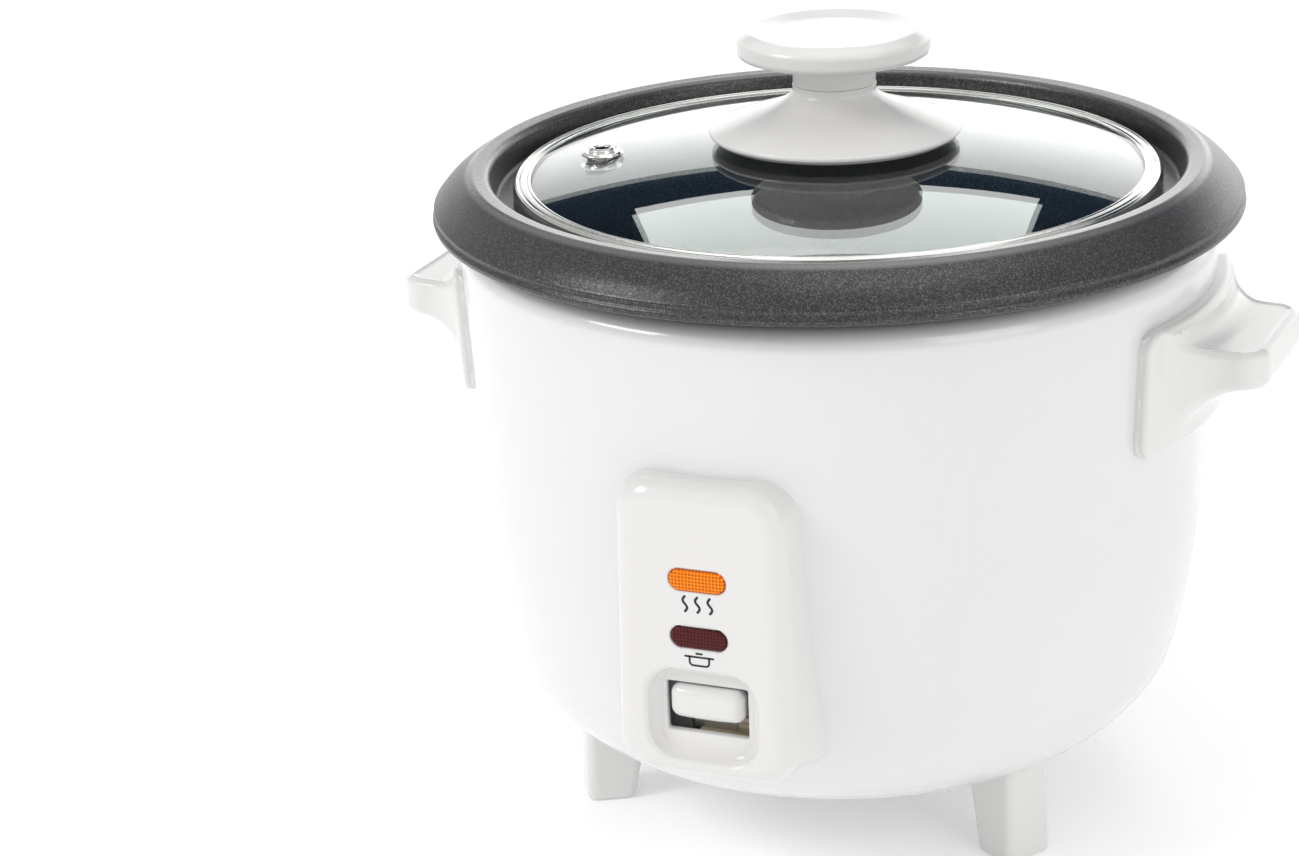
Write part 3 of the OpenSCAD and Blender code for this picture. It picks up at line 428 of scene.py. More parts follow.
def make_materials():
    made = {}

    paint = Shader("body_paint", (0.735, 0.74, 0.74), 0.2, Coat_Weight=0.6, Coat_Roughness=0.06)
    paint.bump(paint.noise(160, 1.0), 0.012, 0.0004)
    made["body_paint"] = paint

    white = Shader("white_plastic", (0.74, 0.735, 0.73), 0.17)
    white.into("Roughness", white.span(white.noise(45, 1.0), 0.14, 0.2))
    made["white_plastic"] = white

    holder = Shader("holder_plastic", (0.74, 0.72, 0.66), 0.5)
    holder.bump(holder.noise(1200, 2.0), 0.05, 0.0002)
    made["holder_plastic"] = holder

    black = Shader("black_plastic", (0.022, 0.022, 0.024), 0.42)
    black.bump(black.noise(1600, 3.0), 0.12, 0.0002)
    made["black_plastic"] = black

    for name, base, rough, grain in (
        ("liner_steel", (0.58, 0.58, 0.57), 0.3, (4, 4, 160)),
        ("fasteners", (0.66, 0.65, 0.62), 0.24, (60, 60, 60)),
        ("spring_wire", (0.5, 0.5, 0.5), 0.28, (60, 60, 60)),
        ("element_tube", (0.24, 0.225, 0.21), 0.45, (50, 50, 50)),
        ("terminal_brass", (0.76, 0.58, 0.27), 0.28, (50, 50, 50)),
        ("ferrite", (0.07, 0.07, 0.075), 0.55, (90, 90, 90)),
    ):
        metal = Shader(name, base, rough, 0.3 if name == "ferrite" else 1.0)
        streaks = metal.noise(9, 5.0, 0.6, grain)
        metal.into("Roughness", metal.span(streaks, rough - 0.1, rough + 0.14))
        dark = tuple(c * 0.78 for c in base)
        metal.into("Base Color", metal.ramp(streaks, [(0.3, dark), (0.7, base)]))
        metal.bump(streaks, 0.05, 0.0001)
        made[name] = metal

    for name, base, rough in (
        ("lid_ring_steel", (0.60, 0.60, 0.58), 0.14),
        ("vent_steel", (0.76, 0.76, 0.75), 0.12),
    ):
        steel = Shader(name, base, rough, 1.0)
        steel.into("Roughness", steel.span(steel.noise(700, 3.0), rough - 0.04, rough + 0.08))
        made[name] = steel

    cast = Shader("plate_aluminium", (0.66, 0.66, 0.67), 0.32, 1.0)
    turned = cast.node("ShaderNodeTexWave", wave_type="RINGS", rings_direction="Z", Scale=160.0)
    cast.link(cast.place(), turned.inputs["Vector"])
    cast.into("Roughness", cast.span(cast.noise(90, 4.0), 0.24, 0.42))
    cast.bump(turned.outputs["Fac"], 0.12, 0.0001)
    made["plate_aluminium"] = cast

    coat = Shader("pot_coating", (0.07, 0.07, 0.075), 0.36, Specular_IOR_Level=0.55)
    split = coat.node("ShaderNodeSeparateColor")
    coat.link(coat.cells(3400).outputs["Color"], split.inputs["Color"])
    cloud = coat.noise(5200, 2.0, 0.7)
    fleck = coat.node("ShaderNodeMath", operation="MULTIPLY")
    coat.link(split.outputs["Red"], fleck.inputs[0])
    coat.link(cloud, fleck.inputs[1])
    flecked = coat.ramp(fleck.outputs["Value"], [
        (0.06, (0.034, 0.034, 0.036)), (0.3, (0.052, 0.052, 0.054)), (0.56, (0.15, 0.15, 0.155))])
    # The crown's narrow top is smoother, and its colour is painted lighter there as a painted highlight
    height = coat.node("ShaderNodeSeparateXYZ")
    coat.link(coat.place(), height.inputs["Vector"])
    crown_z = POT_HIGH[2] * MM
    crown = coat.span(height.outputs["Z"], 0.0, 1.0, crown_z - 0.0013, crown_z - 0.0007)
    band = coat.node("ShaderNodeMix", data_type="RGBA")
    factor, plain, painted_highlight = (band.inputs[i] for i in (0, 6, 7))  # the node's colour sockets
    coat.link(crown, factor)
    coat.link(flecked, plain)
    # A lighter grey for the crown's top: a painted highlight
    painted_highlight.default_value = (0.17, 0.17, 0.172, 1.0)
    coat.into("Base Color", band.outputs[2])
    coat.into("Metallic", coat.span(fleck.outputs["Value"], 0.5, 0.8, 0.2, 0.7))
    coat.into("Roughness", coat.span(crown, 0.31, 0.24))
    coat.bump(cloud, 0.16, 0.0001)
    made["pot_coating"] = coat

    made["lid_glass"] = Shader("lid_glass", (0.90, 0.965, 0.945), 0.0, IOR=1.5, Transmission_Weight=1.0)
    made["lamp_glass"] = Shader("lamp_glass", (1.0, 0.86, 0.72), 0.05, IOR=1.45, Transmission_Weight=0.8)

    for name, base, strength in (
        ("warm_lens", (0.93, 0.20, 0.002), 0.3),
        ("cook_lens", (0.085, 0.009, 0.010), 0.1),
    ):
        lens = Shader(name, base, 0.25, Specular_IOR_Level=0.2)
        dots = lens.cells(1150, flat=(1, 0, 1))
        dots.inputs["Randomness"].default_value = 0.0
        deep = tuple(c * 0.4 for c in base)
        stipple = lens.ramp(dots.outputs["Distance"], [(0.28, deep), (0.46, base)])
        lens.into("Base Color", stipple)
        # Both lenses glow faintly in their own stippled colour: a painted glow that lifts their colour, with
        # no light in the scene behind them
        lens.into("Emission Color", stipple)
        lens.set("Emission Strength", strength)
        lens.bump(dots.outputs["Distance"], 0.35, 0.0003)
        made[name] = lens

    wrap = Shader("heater_wrap", (0.58, 0.5, 0.36), 0.75)
    weave = wrap.node("ShaderNodeTexWave", bands_direction="Z", Scale=180.0)
    wrap.link(wrap.place(), weave.inputs["Vector"])
    wrap.into("Base Color", wrap.ramp(weave.outputs["Fac"], [
        (0.2, (0.46, 0.39, 0.27)), (0.8, (0.64, 0.56, 0.42))]))
    wrap.bump(weave.outputs["Fac"], 0.4, 0.0004)
    made["heater_wrap"] = wrap

    for name, base, rough, grain, depth in (
        ("fuse_sleeve", (0.8, 0.78, 0.7), 0.6, 1500, 0.3),
        ("wire_insulation", (0.45, 0.07, 0.05), 0.4, 600, 0.1),
        ("gasket_rubber", (0.72, 0.72, 0.69), 0.55, 900, 0.1),
    ):
        soft = Shader(name, base, rough)
        soft.bump(soft.noise(grain, 2.0), depth, 0.0002)
        made[name] = soft

    made["panel_ink"] = Shader("panel_ink", (0.012, 0.013, 0.028), 0.5)
    return made


MATERIALS = make_materials()
SLOT_OF = {s["node"]: s["material_slot"] for s in record["subparts"]}
BODY_OF = {n: b for b, nodes in record["behaviour"]["bodies"].items() for n in nodes}


def dress(obj, slot):
    obj.data.materials.clear()
    obj.data.materials.append(MATERIALS[slot].material)


def stand_in(obj, node):
    """Puts obj in place of a CAD node, on its body and with its finish."""
    dress(obj, SLOT_OF[node])
    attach(obj, BODY_OF[node])
    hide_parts(node)


def trim(obj, slot, body):
    """A small piece with no CAD node of its own."""
    dress(obj, slot)
    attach(obj, body)


# ---------------------------------------------------------------- painted body

WALL_DRAFT = math.radians(3)
BLEND = math.radians(14)  # where the bottom corner's arc runs into the shoulder's
CORNER_R = 32.0
SHOULDER_R = 210.0
TOP_ROUND = 5.5
BODY_WALL = 1.0


def body_outline(t):
    """Radius of the flat base, and the body's profile t inside its surface, from base to top."""
    top_c = (BODY_R - TOP_ROUND, BODY_TOP - TOP_ROUND)
    wall = (top_c[0] + TOP_ROUND * math.cos(WALL_DRAFT), top_c[1] - TOP_ROUND * math.sin(WALL_DRAFT))
    corner_cz = BODY_BOTTOM + CORNER_R
    corner_end = corner_cz - CORNER_R * math.sin(BLEND)
    shoulder_end = corner_end + SHOULDER_R * (math.sin(BLEND) - math.sin(WALL_DRAFT))
    end_r = wall[0] - (wall[1] - shoulder_end) * math.tan(WALL_DRAFT)
    shoulder_c = (end_r - SHOULDER_R * math.cos(WALL_DRAFT), shoulder_end + SHOULDER_R * math.sin(WALL_DRAFT))
    flat_r = shoulder_c[0] + (SHOULDER_R - CORNER_R) * math.cos(BLEND)
    blend, draft = math.degrees(BLEND), math.degrees(WALL_DRAFT)
    return flat_r, (
        arc(flat_r, corner_cz, CORNER_R - t, -90, -blend, 24)
        + arc(*shoulder_c, SHOULDER_R - t, -blend, -draft, 10)
        + arc(*top_c, TOP_ROUND - t, -draft, 90, 14)
    )


FLAT_R, OUTER = body_outline(0)
INNER = body_outline(BODY_WALL)[1]
BODY_SAMPLES = np.array([p for p in OUTER if p[1] <= BODY_TOP - TOP_ROUND], float)
STEEPEST = 6.0


def body_gap(x, y, z):
    """Distance outside the body's wall, from its profile at that height."""
    rs, zs = BODY_SAMPLES.T
    # Arcs share their end points, so tiny steps keep the heights apart
    apart = zs + np.arange(len(zs)) * TINY
    radius = np.interp(z, zs, rs)
    slope = np.interp(z, zs, np.gradient(rs, apart))
    return (np.hypot(x, y) - radius) / np.sqrt(1 + np.minimum(slope, STEEPEST) ** 2)


def underside_gap(x, y, z):
    """Distance outside the body near its bottom corner and its flat underside."""
    r = np.hypot(x, y)
    cz = BODY_BOTTOM + CORNER_R
    corner = np.hypot(r - FLAT_R, z - cz) - CORNER_R
    return np.where(r < FLAT_R, BODY_BOTTOM - z, np.where(z < cz, corner, r - FLAT_R - CORNER_R))


def underside_or_wall(x, y, z):
    """Distance outside the whole body profile."""
    blend_z = BODY_BOTTOM + CORNER_R * (1 - math.sin(BLEND))
    return np.where(z < blend_z, underside_gap(x, y, z), body_gap(x, y, z))


SINK = 0.6  # how far moulded pieces go into the wall, so that no gap shows
OPEN_R = FLAT_R - 10  # the opening that the base cover closes
LIP_R = BODY_R - 10  # inner edge of the rolled top
SWITCH_HOLE = ((-8, -BODY_R - 2, 42), (8, -BODY_R + 20, 68))
INLET_HOLE = ((-15.3, 70, 31.7), (15.3, 100, 54.3))
body_loop = (
    [(OPEN_R, BODY_BOTTOM)] + OUTER
    + [(LIP_R + 0.4, BODY_TOP), (LIP_R, BODY_TOP - 0.4), (LIP_R, BODY_TOP - BODY_WALL)]
    + INNER[::-1] + [(OPEN_R, BODY_BOTTOM + BODY_WALL)]
)
body = revolve("outer_body_shell", body_loop, 288)
cut(body, solid_box("switch_hole", *SWITCH_HOLE), solid_box("inlet_hole", *INLET_HOLE))
shade_smooth(body)
stand_in(body, "outer_body")


# ---------------------------------------------------------------- pot

CROWN_Z = POT_HIGH[2]
POT_BASE = POT_LOW[2]
RIM_R = POT_HIGH[0]
POT_R = 81.2
POT_WALL = 1.5
BORE_R = POT_R - POT_WALL
POT_CORNER_R = 12
SIDE_Z = POT_BASE + 40  # a point on the straight side
SEAT_Z = CROWN_Z - 8
SEAT_IN, SEAT_OUT = 80.6, 86.9
CROWN_OUT = BODY_R - 3.9
CROWN_IN = CROWN_OUT - 4.5
LIP_Z = CROWN_Z - 10.8
LIP_LOW = LIP_Z - 1.5
LIP_IN = RIM_R - 2.9


def pot_outline():
    corner = (POT_R - POT_CORNER_R, POT_BASE + POT_CORNER_R)
    base = [(0, POT_BASE), (corner[0], POT_BASE)]
    outside = arc(*corner, POT_CORNER_R, -90, 0, 12)
    under = soften([
        (POT_R, SIDE_Z), (POT_R, SEAT_Z - 2.4, 1.0), (87.6, SEAT_Z - 1.6, 1.5),
        (90.0, CROWN_Z - 2.6, 1.5), (CROWN_OUT - 0.6, CROWN_Z - 1.9, 1.2),
        (RIM_R - 3.2, LIP_Z - 0.2, 0.6), (LIP_IN, LIP_LOW),
    ])
    slope = soften([
        (LIP_IN, LIP_LOW, 0.6), (RIM_R - 0.5, LIP_LOW, 1.0), (RIM_R, LIP_Z + 0.1, 0.8),
        (RIM_R - 0.75, LIP_Z + 1.0, 0.25), (RIM_R - 0.25, LIP_Z + 2.3, 1.3),
        (CROWN_OUT + 6.3, CROWN_Z - 3.9, 22), (CROWN_OUT, CROWN_Z, 1.6),
        (CROWN_IN, CROWN_Z - 0.4, 2.2), (SEAT_OUT, SEAT_Z + 0.1, 1.4), (SEAT_IN, SEAT_Z, 1.2),
        (BORE_R, SEAT_Z - 14),
    ], steps=10)[1:]
    floor = arc(*corner, POT_CORNER_R - POT_WALL, 0, -90, 12)
    return base + outside + under + slope + [(BORE_R, SIDE_Z)] + floor + [(0, POT_BASE + POT_WALL)]


stand_in(revolve("inner_pot_coated", pot_outline(), 288), "inner_pot")

MARK_HEIGHTS = (22, 34, 46, 58)
MARK_WIDTHS = (0.11, 0.17)  # short and long marks, as angles
MARK_STEPS = 14
MARK_SECTION = ((0.02, -0.45), (-0.33, -0.2), (-0.33, 0.2), (0.02, 0.45))  # (r, z) on the bore


def level_marks():
    """Raised level marks inside the pot, in two columns that face each other."""
    verts, faces = [], []
    n = MARK_STEPS + 1
    for k, height in enumerate(MARK_HEIGHTS):
        for side in (0, math.pi):
            base = len(verts)
            for i in range(n):
                a = side + MARK_WIDTHS[k % 2] * (i / MARK_STEPS - 0.5)
                for r, z in MARK_SECTION:
                    verts.append((
                        (BORE_R + r) * math.cos(a), (BORE_R + r) * math.sin(a), POT_BASE + height + z))
            for i in range(MARK_STEPS):
                here = base + 4 * i
                for j in range(4):
                    m = (j + 1) % 4
                    faces.append((here + j, here + m, here + 4 + m, here + 4 + j))
            faces.append((base, base + 3, base + 2, base + 1))
            faces.append(tuple(base + 4 * MARK_STEPS + j for j in range(4)))
    obj = mesh_object("pot_level_marks", verts, faces)
    shade_smooth(obj, 0.5)
    return obj


trim(level_marks(), "pot_coating", "pot")


# ---------------------------------------------------------------- lid

GLASS_R = GLASS_HIGH[0]
GLASS_T = 3.5
EDGE_Z = GLASS_LOW[2]
DOME_RISE = GLASS_HIGH[2] - GLASS_T - EDGE_Z
DOME_R = (GLASS_R ** 2 + DOME_RISE ** 2) / (2 * DOME_RISE)
SCREW_HOLE_R = 3.4
VENT_AT = 59.5
VENT_ANGLE = math.radians(198)
VENT_PLACE = (VENT_AT * math.cos(VENT_ANGLE), VENT_AT * math.sin(VENT_ANGLE))
VENT_HOLE_R = 4


def dome(r):
    """Height of the glass's underside."""
    return EDGE_Z + DOME_RISE - DOME_R + math.sqrt(DOME_R ** 2 - r * r)


def glass_outline():
    n = 60
    radii = [SCREW_HOLE_R + (GLASS_R - SCREW_HOLE_R) * i / n for i in range(n + 1)]
    under = [(r, dome(r)) for r in radii]
    over = [(r, dome(r) + GLASS_T) for r in reversed(radii)]
    return under + over


glass = revolve("lid_glass_dome", glass_outline(), 256)
vent_drill = [
    (0, EDGE_Z - 2), (VENT_HOLE_R, EDGE_Z - 2), (VENT_HOLE_R, EDGE_Z + 30), (0, EDGE_Z + 30)]
cut(glass, revolve("vent_drill", vent_drill, 64, VENT_PLACE))
shade_smooth(glass, 0.5)
stand_in(glass, "lid_glass")

RING_R = RING_HIGH[0]
RING_Z = RING_LOW[2]
RING_IN = RING_R - 4.6
GLASS_EDGE_TOP = dome(GLASS_R) + GLASS_T


def ring_outline():
    """The folded steel rim, with its fine rolled beads round the glass's edge."""
    top = GLASS_EDGE_TOP + 1.0
    return soften([
        (RING_IN + 0.6, RING_Z + 0.5, 0.4), (RING_IN + 1.4, RING_Z, 0.4), (RING_R - 1.2, RING_Z, 0.9),
        (RING_R, RING_Z + 1.2, 0.8), (RING_R, top - 1.6, 0.8), (RING_R - 0.5, top - 0.4, 0.4),
        (RING_R - 1.1, top + 0.05, 0.35), (RING_R - 1.6, top - 0.3, 0.25),
        (RING_R - 2.1, top, 0.35), (RING_R - 3.1, top + 0.12, 0.35),
        (RING_R - 3.6, top - 0.2, 0.25), (RING_R - 4.05, top + 0.08, 0.25), (RING_IN, top - 0.15, 0.2),
        (RING_IN + 0.05, dome(RING_IN) + GLASS_T + 0.02), (RING_R - 1.0, GLASS_EDGE_TOP + 0.02),
        (RING_R - 1.0, dome(GLASS_R) - 0.02), (RING_IN + 0.6, dome(RING_IN + 0.6) - 0.02),
    ], closed=True, steps=5)


stand_in(revolve("lid_rim_band", ring_outline(), 288), "lid_ring")


def vent_outline():
    """A rolled eyelet, clenched over both faces of the glass."""
    low, top = dome(VENT_AT), dome(VENT_AT) + GLASS_T
    return soften([
        (1.8, low - 1.5, 0.2), (4.9, low - 1.6, 0.3), (5.3, low - 1.1, 0.3), (4.02, low - 0.9, 0.1),
        (4.02, top + 0.55, 0.1), (5.35, top + 0.6, 0.2), (5.35, top + 1.1, 0.3),
        (4.7, top + 1.65, 0.35), (3.5, top + 1.5, 0.2), (3.25, top + 2.2, 0.25),
        (2.5, top + 2.55, 0.3), (1.85, top + 2.2, 0.2)], closed=True, steps=5)


stand_in(revolve("vent_eyelet", vent_outline(), 96, VENT_PLACE), "vent_grommet")

KNOB_TOP_Z = KNOB_HIGH[2]
KNOB_R = KNOB_HIGH[0]
FLARE_R = FLARE_HIGH[0]
DISC_T = 6.6
SEAM_Z = FLARE_HIGH[2]
SEAM_GAP = 0.02
NECK_R = 10.6
BOSS_R = 2.5  # the hole for the knob's screw


def knob_outline():
    """The disc and the upper neck, with a shallow dish in the top."""
    under = KNOB_TOP_Z - DISC_T
    return (
        [(0, SEAM_Z + 5), (BOSS_R, SEAM_Z + 5), (BOSS_R, SEAM_Z)]
        + soften([(BOSS_R + 0.1, SEAM_Z + SEAM_GAP), (NECK_R - 0.1, SEAM_Z + SEAM_GAP, 0.25),
                  (NECK_R - 0.1, under - 0.1, 1.2), (KNOB_R - 0.25, under, 1.5),
                  (KNOB_R, KNOB_TOP_Z - 1.9, 1.9), (KNOB_R - 3.2, KNOB_TOP_Z, 2.6),
                  (KNOB_R * 0.62, KNOB_TOP_Z - 0.75, 14)], steps=10)
        + [(KNOB_R * (1 - k / 12) * 0.6, KNOB_TOP_Z - 0.8 - 0.35 * math.sin(k / 12 * math.pi / 2))
           for k in range(1, 13)]
    )


def flare_outline():
    """The lower neck, which sweeps out to a thin edge over the glass."""
    low, r, n = FLARE_LOW[2], FLARE_R, 30
    sweep = [
        (NECK_R + (r - 3.2 - NECK_R) * (1 - i / n) ** 2.2,
         low + 3.5 + (SEAM_Z - low - 4.6) * (i / n) ** 0.8)
        for i in range(n + 1)
    ]
    return (
        [(BOSS_R, low + 3), (9, low + 3), (9, low + 0.3), (12, low + 0.3)]
        + soften([(12.2, low + 0.3), (r - 1.2, low + 0.6, 0.5), (r, low + 1.6, 0.6),
                  (r - 0.1, low + 2.5, 0.6), (r - 2.4, low + 3.35, 1.0), sweep[1]], steps=6)
        + sweep[2:]
        + soften([(NECK_R, SEAM_Z - 1.2), (NECK_R, SEAM_Z - SEAM_GAP, 0.25),
                  (BOSS_R, SEAM_Z - SEAM_GAP)], steps=4)[1:]
    )


stand_in(revolve("knob_disc", knob_outline(), 192), "knob_top")
stand_in(revolve("knob_flare", flare_outline(), 224), "knob_base")


# ---------------------------------------------------------------- handles

HANDLE_TOP, HANDLE_LOW = GRIP_HIGH[2], GRIP_LOW[2]
TIP_X = GRIP_HIGH[0]
WALL_R = 96  # the radius at which widths along the wall are measured
FLANGE_T = 3.4
FLANGE_W = 2 * math.radians(22) * WALL_R
GRIP_TOP = HANDLE_TOP - 8.3
GRIP_UNDER = GRIP_TOP - 9.2
GRIP_HALF = 22.0
GRIP_CORNER_R = 7.0
FLARE_SPREAD, FLARE_REACH = 12.4, 15.5  # how far the grip widens at the wall, and from how far out
BEAD, BEAD_IN, BEAD_WIDTH = 0.45, 1.9, 0.7  # the raised lip round the grip's top


def handle_shape(x, y, z):
    """The right handle: a flange that hugs the body, and a dished grip that flares into it."""
    gap = body_gap(x, y, z)
    along = np.arctan2(y, x) * WALL_R
    middle = (HANDLE_TOP + HANDLE_LOW) / 2
    flange = rect(along, z - middle, FLANGE_W, HANDLE_TOP - HANDLE_LOW, 5)
    flange = meet_round(gap - FLANGE_T, flange, 1.4)

    flare = FLARE_SPREAD * np.clip(1 - (gap - 1) / FLARE_REACH, 0, 1) ** 2.6
    plan = rect(x - (TIP_X + 50) / 2, y, TIP_X - 50, 2 * GRIP_HALF, GRIP_CORNER_R)
    flared = np.maximum(x - TIP_X, (np.abs(y) - GRIP_HALF - flare) * 0.9)
    plan = np.where(gap < 17, flared, plan)
    widest = rect(x - (TIP_X + 30) / 2, y, TIP_X - 30, 2 * (GRIP_HALF + flare), GRIP_CORNER_R)
    plan = np.maximum(plan, widest)

    under_r = GRIP_UNDER - HANDLE_LOW
    out = gap - FLANGE_T - under_r
    bow = np.hypot(out, z - GRIP_UNDER + under_r) - under_r
    beneath = np.where(z < GRIP_UNDER - under_r, -out - under_r, bow)
    beneath = np.where(out > 0, z - GRIP_UNDER, beneath)

    scoop_r = HANDLE_TOP - GRIP_TOP - 0.8
    out = gap - FLANGE_T - scoop_r
    dish = np.hypot(out, z - GRIP_TOP - scoop_r) - scoop_r
    above = np.where(z > GRIP_TOP + scoop_r, -out - scoop_r, dish)
    above = np.where(out > 0, GRIP_TOP - z, above)

    bead = BEAD * np.exp(-(((plan + BEAD_IN) / BEAD_WIDTH) ** 2))
    grip = meet_round(plan, -beneath, 2.2)
    grip = meet_round(grip, -above - bead, 1.2)
    grip = np.maximum(grip, np.maximum(z - HANDLE_TOP + 2.6, HANDLE_LOW + 2.6 - z))
    return np.maximum(join_round(flange, grip, 2.4), -SINK - gap)


right = implicit("handle_right_moulded", handle_shape, (84, -42, HANDLE_LOW - 2),
                 (TIP_X + 2, 42, HANDLE_TOP + 2), 0.55)
left = turned_copy("handle_left_moulded", right, 180)
stand_in(right, "handle_right")
stand_in(left, "handle_left")


# ---------------------------------------------------------------- feet

LEG_HALF = 7.3
LEG_BORE_R = 4.0
LEG_BORE_Y = (LEG_HIGH[1] + LEG_LOW[1]) / 2 + 1
LEG_BORE_TOP, LEG_TOP = 12, 31.5


def foot_shape(x, y, z):
    """The rear foot, standing out along +Y; the others are turned copies."""
    face = y - (LEG_HIGH[1] - 0.6) + 0.012 * z
    back = LEG_LOW[1] + 4.2 - y - 0.22 * z
    side = np.abs(x) - LEG_HALF + 0.03 * z
    column = meet_round(meet_round(face, back, 2.4), side, 2.4)
    column = meet_round(column, -z, 0.7)
    bore = np.hypot(x, y - LEG_BORE_Y) - LEG_BORE_R
    column = np.maximum(column, -meet_round(bore, z - LEG_BORE_TOP, 0.4))
    column = np.maximum(column, z - LEG_TOP)
    return np.maximum(column, -SINK - underside_gap(x, y, z))


rear = implicit("foot_rear_moulded", foot_shape, (-10, LEG_LOW[1] - 2, -1), (10, LEG_HIGH[1] + 2, 33), 0.5)
stand_in(rear, "foot_rear")
for side, turn in (("left", 120), ("right", -120)):
    stand_in(turned_copy(f"foot_{side}_moulded", rear, turn), f"foot_{side}")


# ---------------------------------------------------------------- front panel

FACE_Y = PANEL_LOW[1]
FACE_TOP, FACE_BOTTOM = 117.3, 42.3
FACE_HALF = 20.6  # half the face's width at its top
FACE_TAPER = 0.022  # how fast the face widens downwards
SIDE_FLARE, END_FLARE = 0.2, 0.1  # how fast the sides and the ends spread towards the body
PANEL_CORNER_R = 9.0
PANEL_EDGE_R = 4.4
PANEL_WALL = 2.0
PANEL_BACK_Y = -66
LENS_W, LENS_H = 14.2, 5.2
LENS_GAP = 0.3
WARM_Z = (WARM_LOW[2] + WARM_HIGH[2]) / 2
COOK_Z = (COOK_LOW[2] + COOK_HIGH[2]) / 2
SWITCH_Z = (LEVER_LOW[2] + LEVER_HIGH[2]) / 2
RECESS_Z = SWITCH_Z - 2
RECESS_DEPTH = 4.0
WINDOW_W, WINDOW_LOW, WINDOW_HIGH = 21, SWITCH_Z - 7.9, SWITCH_Z + 4.8


def panel_outer(x, y, z, t=0.0):
    """The panel's outside, or the surface t inside it."""
    depth = y - FACE_Y - t
    spread = np.maximum(depth, 0)
    half = FACE_HALF - t + SIDE_FLARE * spread + FACE_TAPER * (FACE_TOP - z)
    top, bottom = FACE_TOP - t + END_FLARE * spread, FACE_BOTTOM + t - END_FLARE * spread
    side = rect(x, z - (top + bottom) / 2, 2 * half, top - bottom, PANEL_CORNER_R - t)
    return meet_round(side * 0.97, -depth, max(PANEL_EDGE_R - t, 1.0))


def panel_shape(x, y, z):
    """A thin shell with a recess for the switch, its window and two lens holes."""
    depth = y - FACE_Y
    shell = np.maximum(panel_outer(x, y, z), -panel_outer(x, y, z, PANEL_WALL))
    cup = rect(x, z - RECESS_Z, 32, 28, 9)
    shell = join_round(shell, np.maximum(cup, np.maximum(depth - 6, 1 - depth)), 0.8)
    well = rect(x, z - RECESS_Z + 0.3, 27.2, 22.6, 7) - 0.16 * (RECESS_DEPTH - depth)
    shape = meet_round(shell, -meet_round(well, depth - RECESS_DEPTH, 1.6), 1.5)
    window = rect(x, z - (WINDOW_LOW + WINDOW_HIGH) / 2, WINDOW_W, WINDOW_HIGH - WINDOW_LOW, 0.6)
    shape = meet_round(shape, -np.maximum(window, depth - 9), 0.3)
    for lens_z in (WARM_Z, COOK_Z):
        hole = rect(x, z - lens_z, LENS_W + LENS_GAP, LENS_H + LENS_GAP, LENS_H / 2)
        shape = meet_round(shape, -np.maximum(hole, depth - 3), 0.25)
    return np.maximum(shape, -SINK - underside_or_wall(x, y, z))


panel = implicit("front_panel_moulded", panel_shape, (-31, FACE_Y - 1, 38), (31, PANEL_BACK_Y, 122), 0.5)
stand_in(panel, "control_panel")

LENS_CROWN = (  # (inwards, behind the face) from the lens's back to its crowned front
    (0.0, 3.02), (0.0, 0.12), (0.05, -0.08), (0.22, -0.22), (0.55, -0.3), (1.1, -0.35), (1.9, -0.38))


def lens_outline(z, inwards, n=24):
    centre_x, r = (LENS_W - LENS_H) / 2, LENS_H / 2 - inwards
    return [
        (side * centre_x + r * math.cos(a), z + r * math.sin(a))
        for side, start in ((1, -90), (-1, 90))
        for a in [math.radians(start + 180 * i / n) for i in range(n + 1)]
    ]


def lens_piece(name, z):
    """A lens with a softly crowned front, standing just proud of the face."""
    rings = [[(px, FACE_Y + depth, pz) for px, pz in lens_outline(z, inwards)]
             for inwards, depth in LENS_CROWN]
    n, last = len(rings[0]), len(rings) - 1
    faces = [(k * n + i, k * n + (i + 1) % n, (k + 1) * n + (i + 1) % n, (k + 1) * n + i)
             for k in range(last) for i in range(n)]
    faces.append(tuple(last * n + i for i in range(n)))
    faces.append(tuple(reversed(range(n))))
    obj = mesh_object(name, [p for ring in rings for p in ring], faces)
    face_outwards(obj)
    shade_smooth(obj, 0.7)
    return obj


stand_in(lens_piece("warm_lens_crowned", WARM_Z), "warm_lens")
stand_in(lens_piece("cook_lens_crowned", COOK_Z), "cook_lens")


# Pictograms under the lenses: flat printed strokes, a hair above the face

INK_FRONT, INK_BACK = FACE_Y - 0.05, FACE_Y - 0.01
CAP_POINTS = 6


def round_end(point, along, width):
    """Points of the half circle that ends a stroke, from its left side to its right."""
    across = np.array([-along[1], along[0]])
    turns = [math.pi * (0.5 - (i + 1) / (CAP_POINTS + 1)) for i in range(CAP_POINTS)]
    return [point + width / 2 * (math.cos(a) * along + math.sin(a) * across) for a in turns]


def ribbons(name, strokes, width, z0):
    """Printed strokes as thin flat ribbons with round ends; points are (x, z), z from z0."""
    verts, faces = [], []
    for stroke in strokes:
        p = np.array(stroke, float)
        along = np.gradient(p, axis=0)
        along /= np.linalg.norm(along, axis=1)[:, None]
        side = np.stack([-along[:, 1], along[:, 0]], 1) * width / 2
        loop = list(p + side) + round_end(p[-1], along[-1], width)
        loop += list((p - side)[::-1]) + round_end(p[0], -along[0], width)
        base, n, m = len(verts), len(loop), len(p)
        for y in (INK_FRONT, INK_BACK):
            verts += [(q[0], y, z0 + q[1]) for q in loop]
        # Each flat side is a strip between the stroke's edges, with a fan for each end
        for off in (base, base + n):
            left_side = [off + i for i in range(m)]
            right_side = [off + n - CAP_POINTS - 1 - i for i in range(m)]
            for i in range(m - 1):
                faces.append((left_side[i], left_side[i + 1], right_side[i + 1], right_side[i]))
            faces.append([left_side[-1]] + [off + m + i for i in range(CAP_POINTS)] + [right_side[-1]])
            faces.append([right_side[0]] + [off + n - CAP_POINTS + i for i in range(CAP_POINTS)]
                         + [left_side[0]])
        for i in range(n):
            k = (i + 1) % n
            faces.append((base + i, base + k, base + n + k, base + n + i))
    obj = mesh_object(name, verts, faces, smooth=False)
    face_outwards(obj)
    return obj


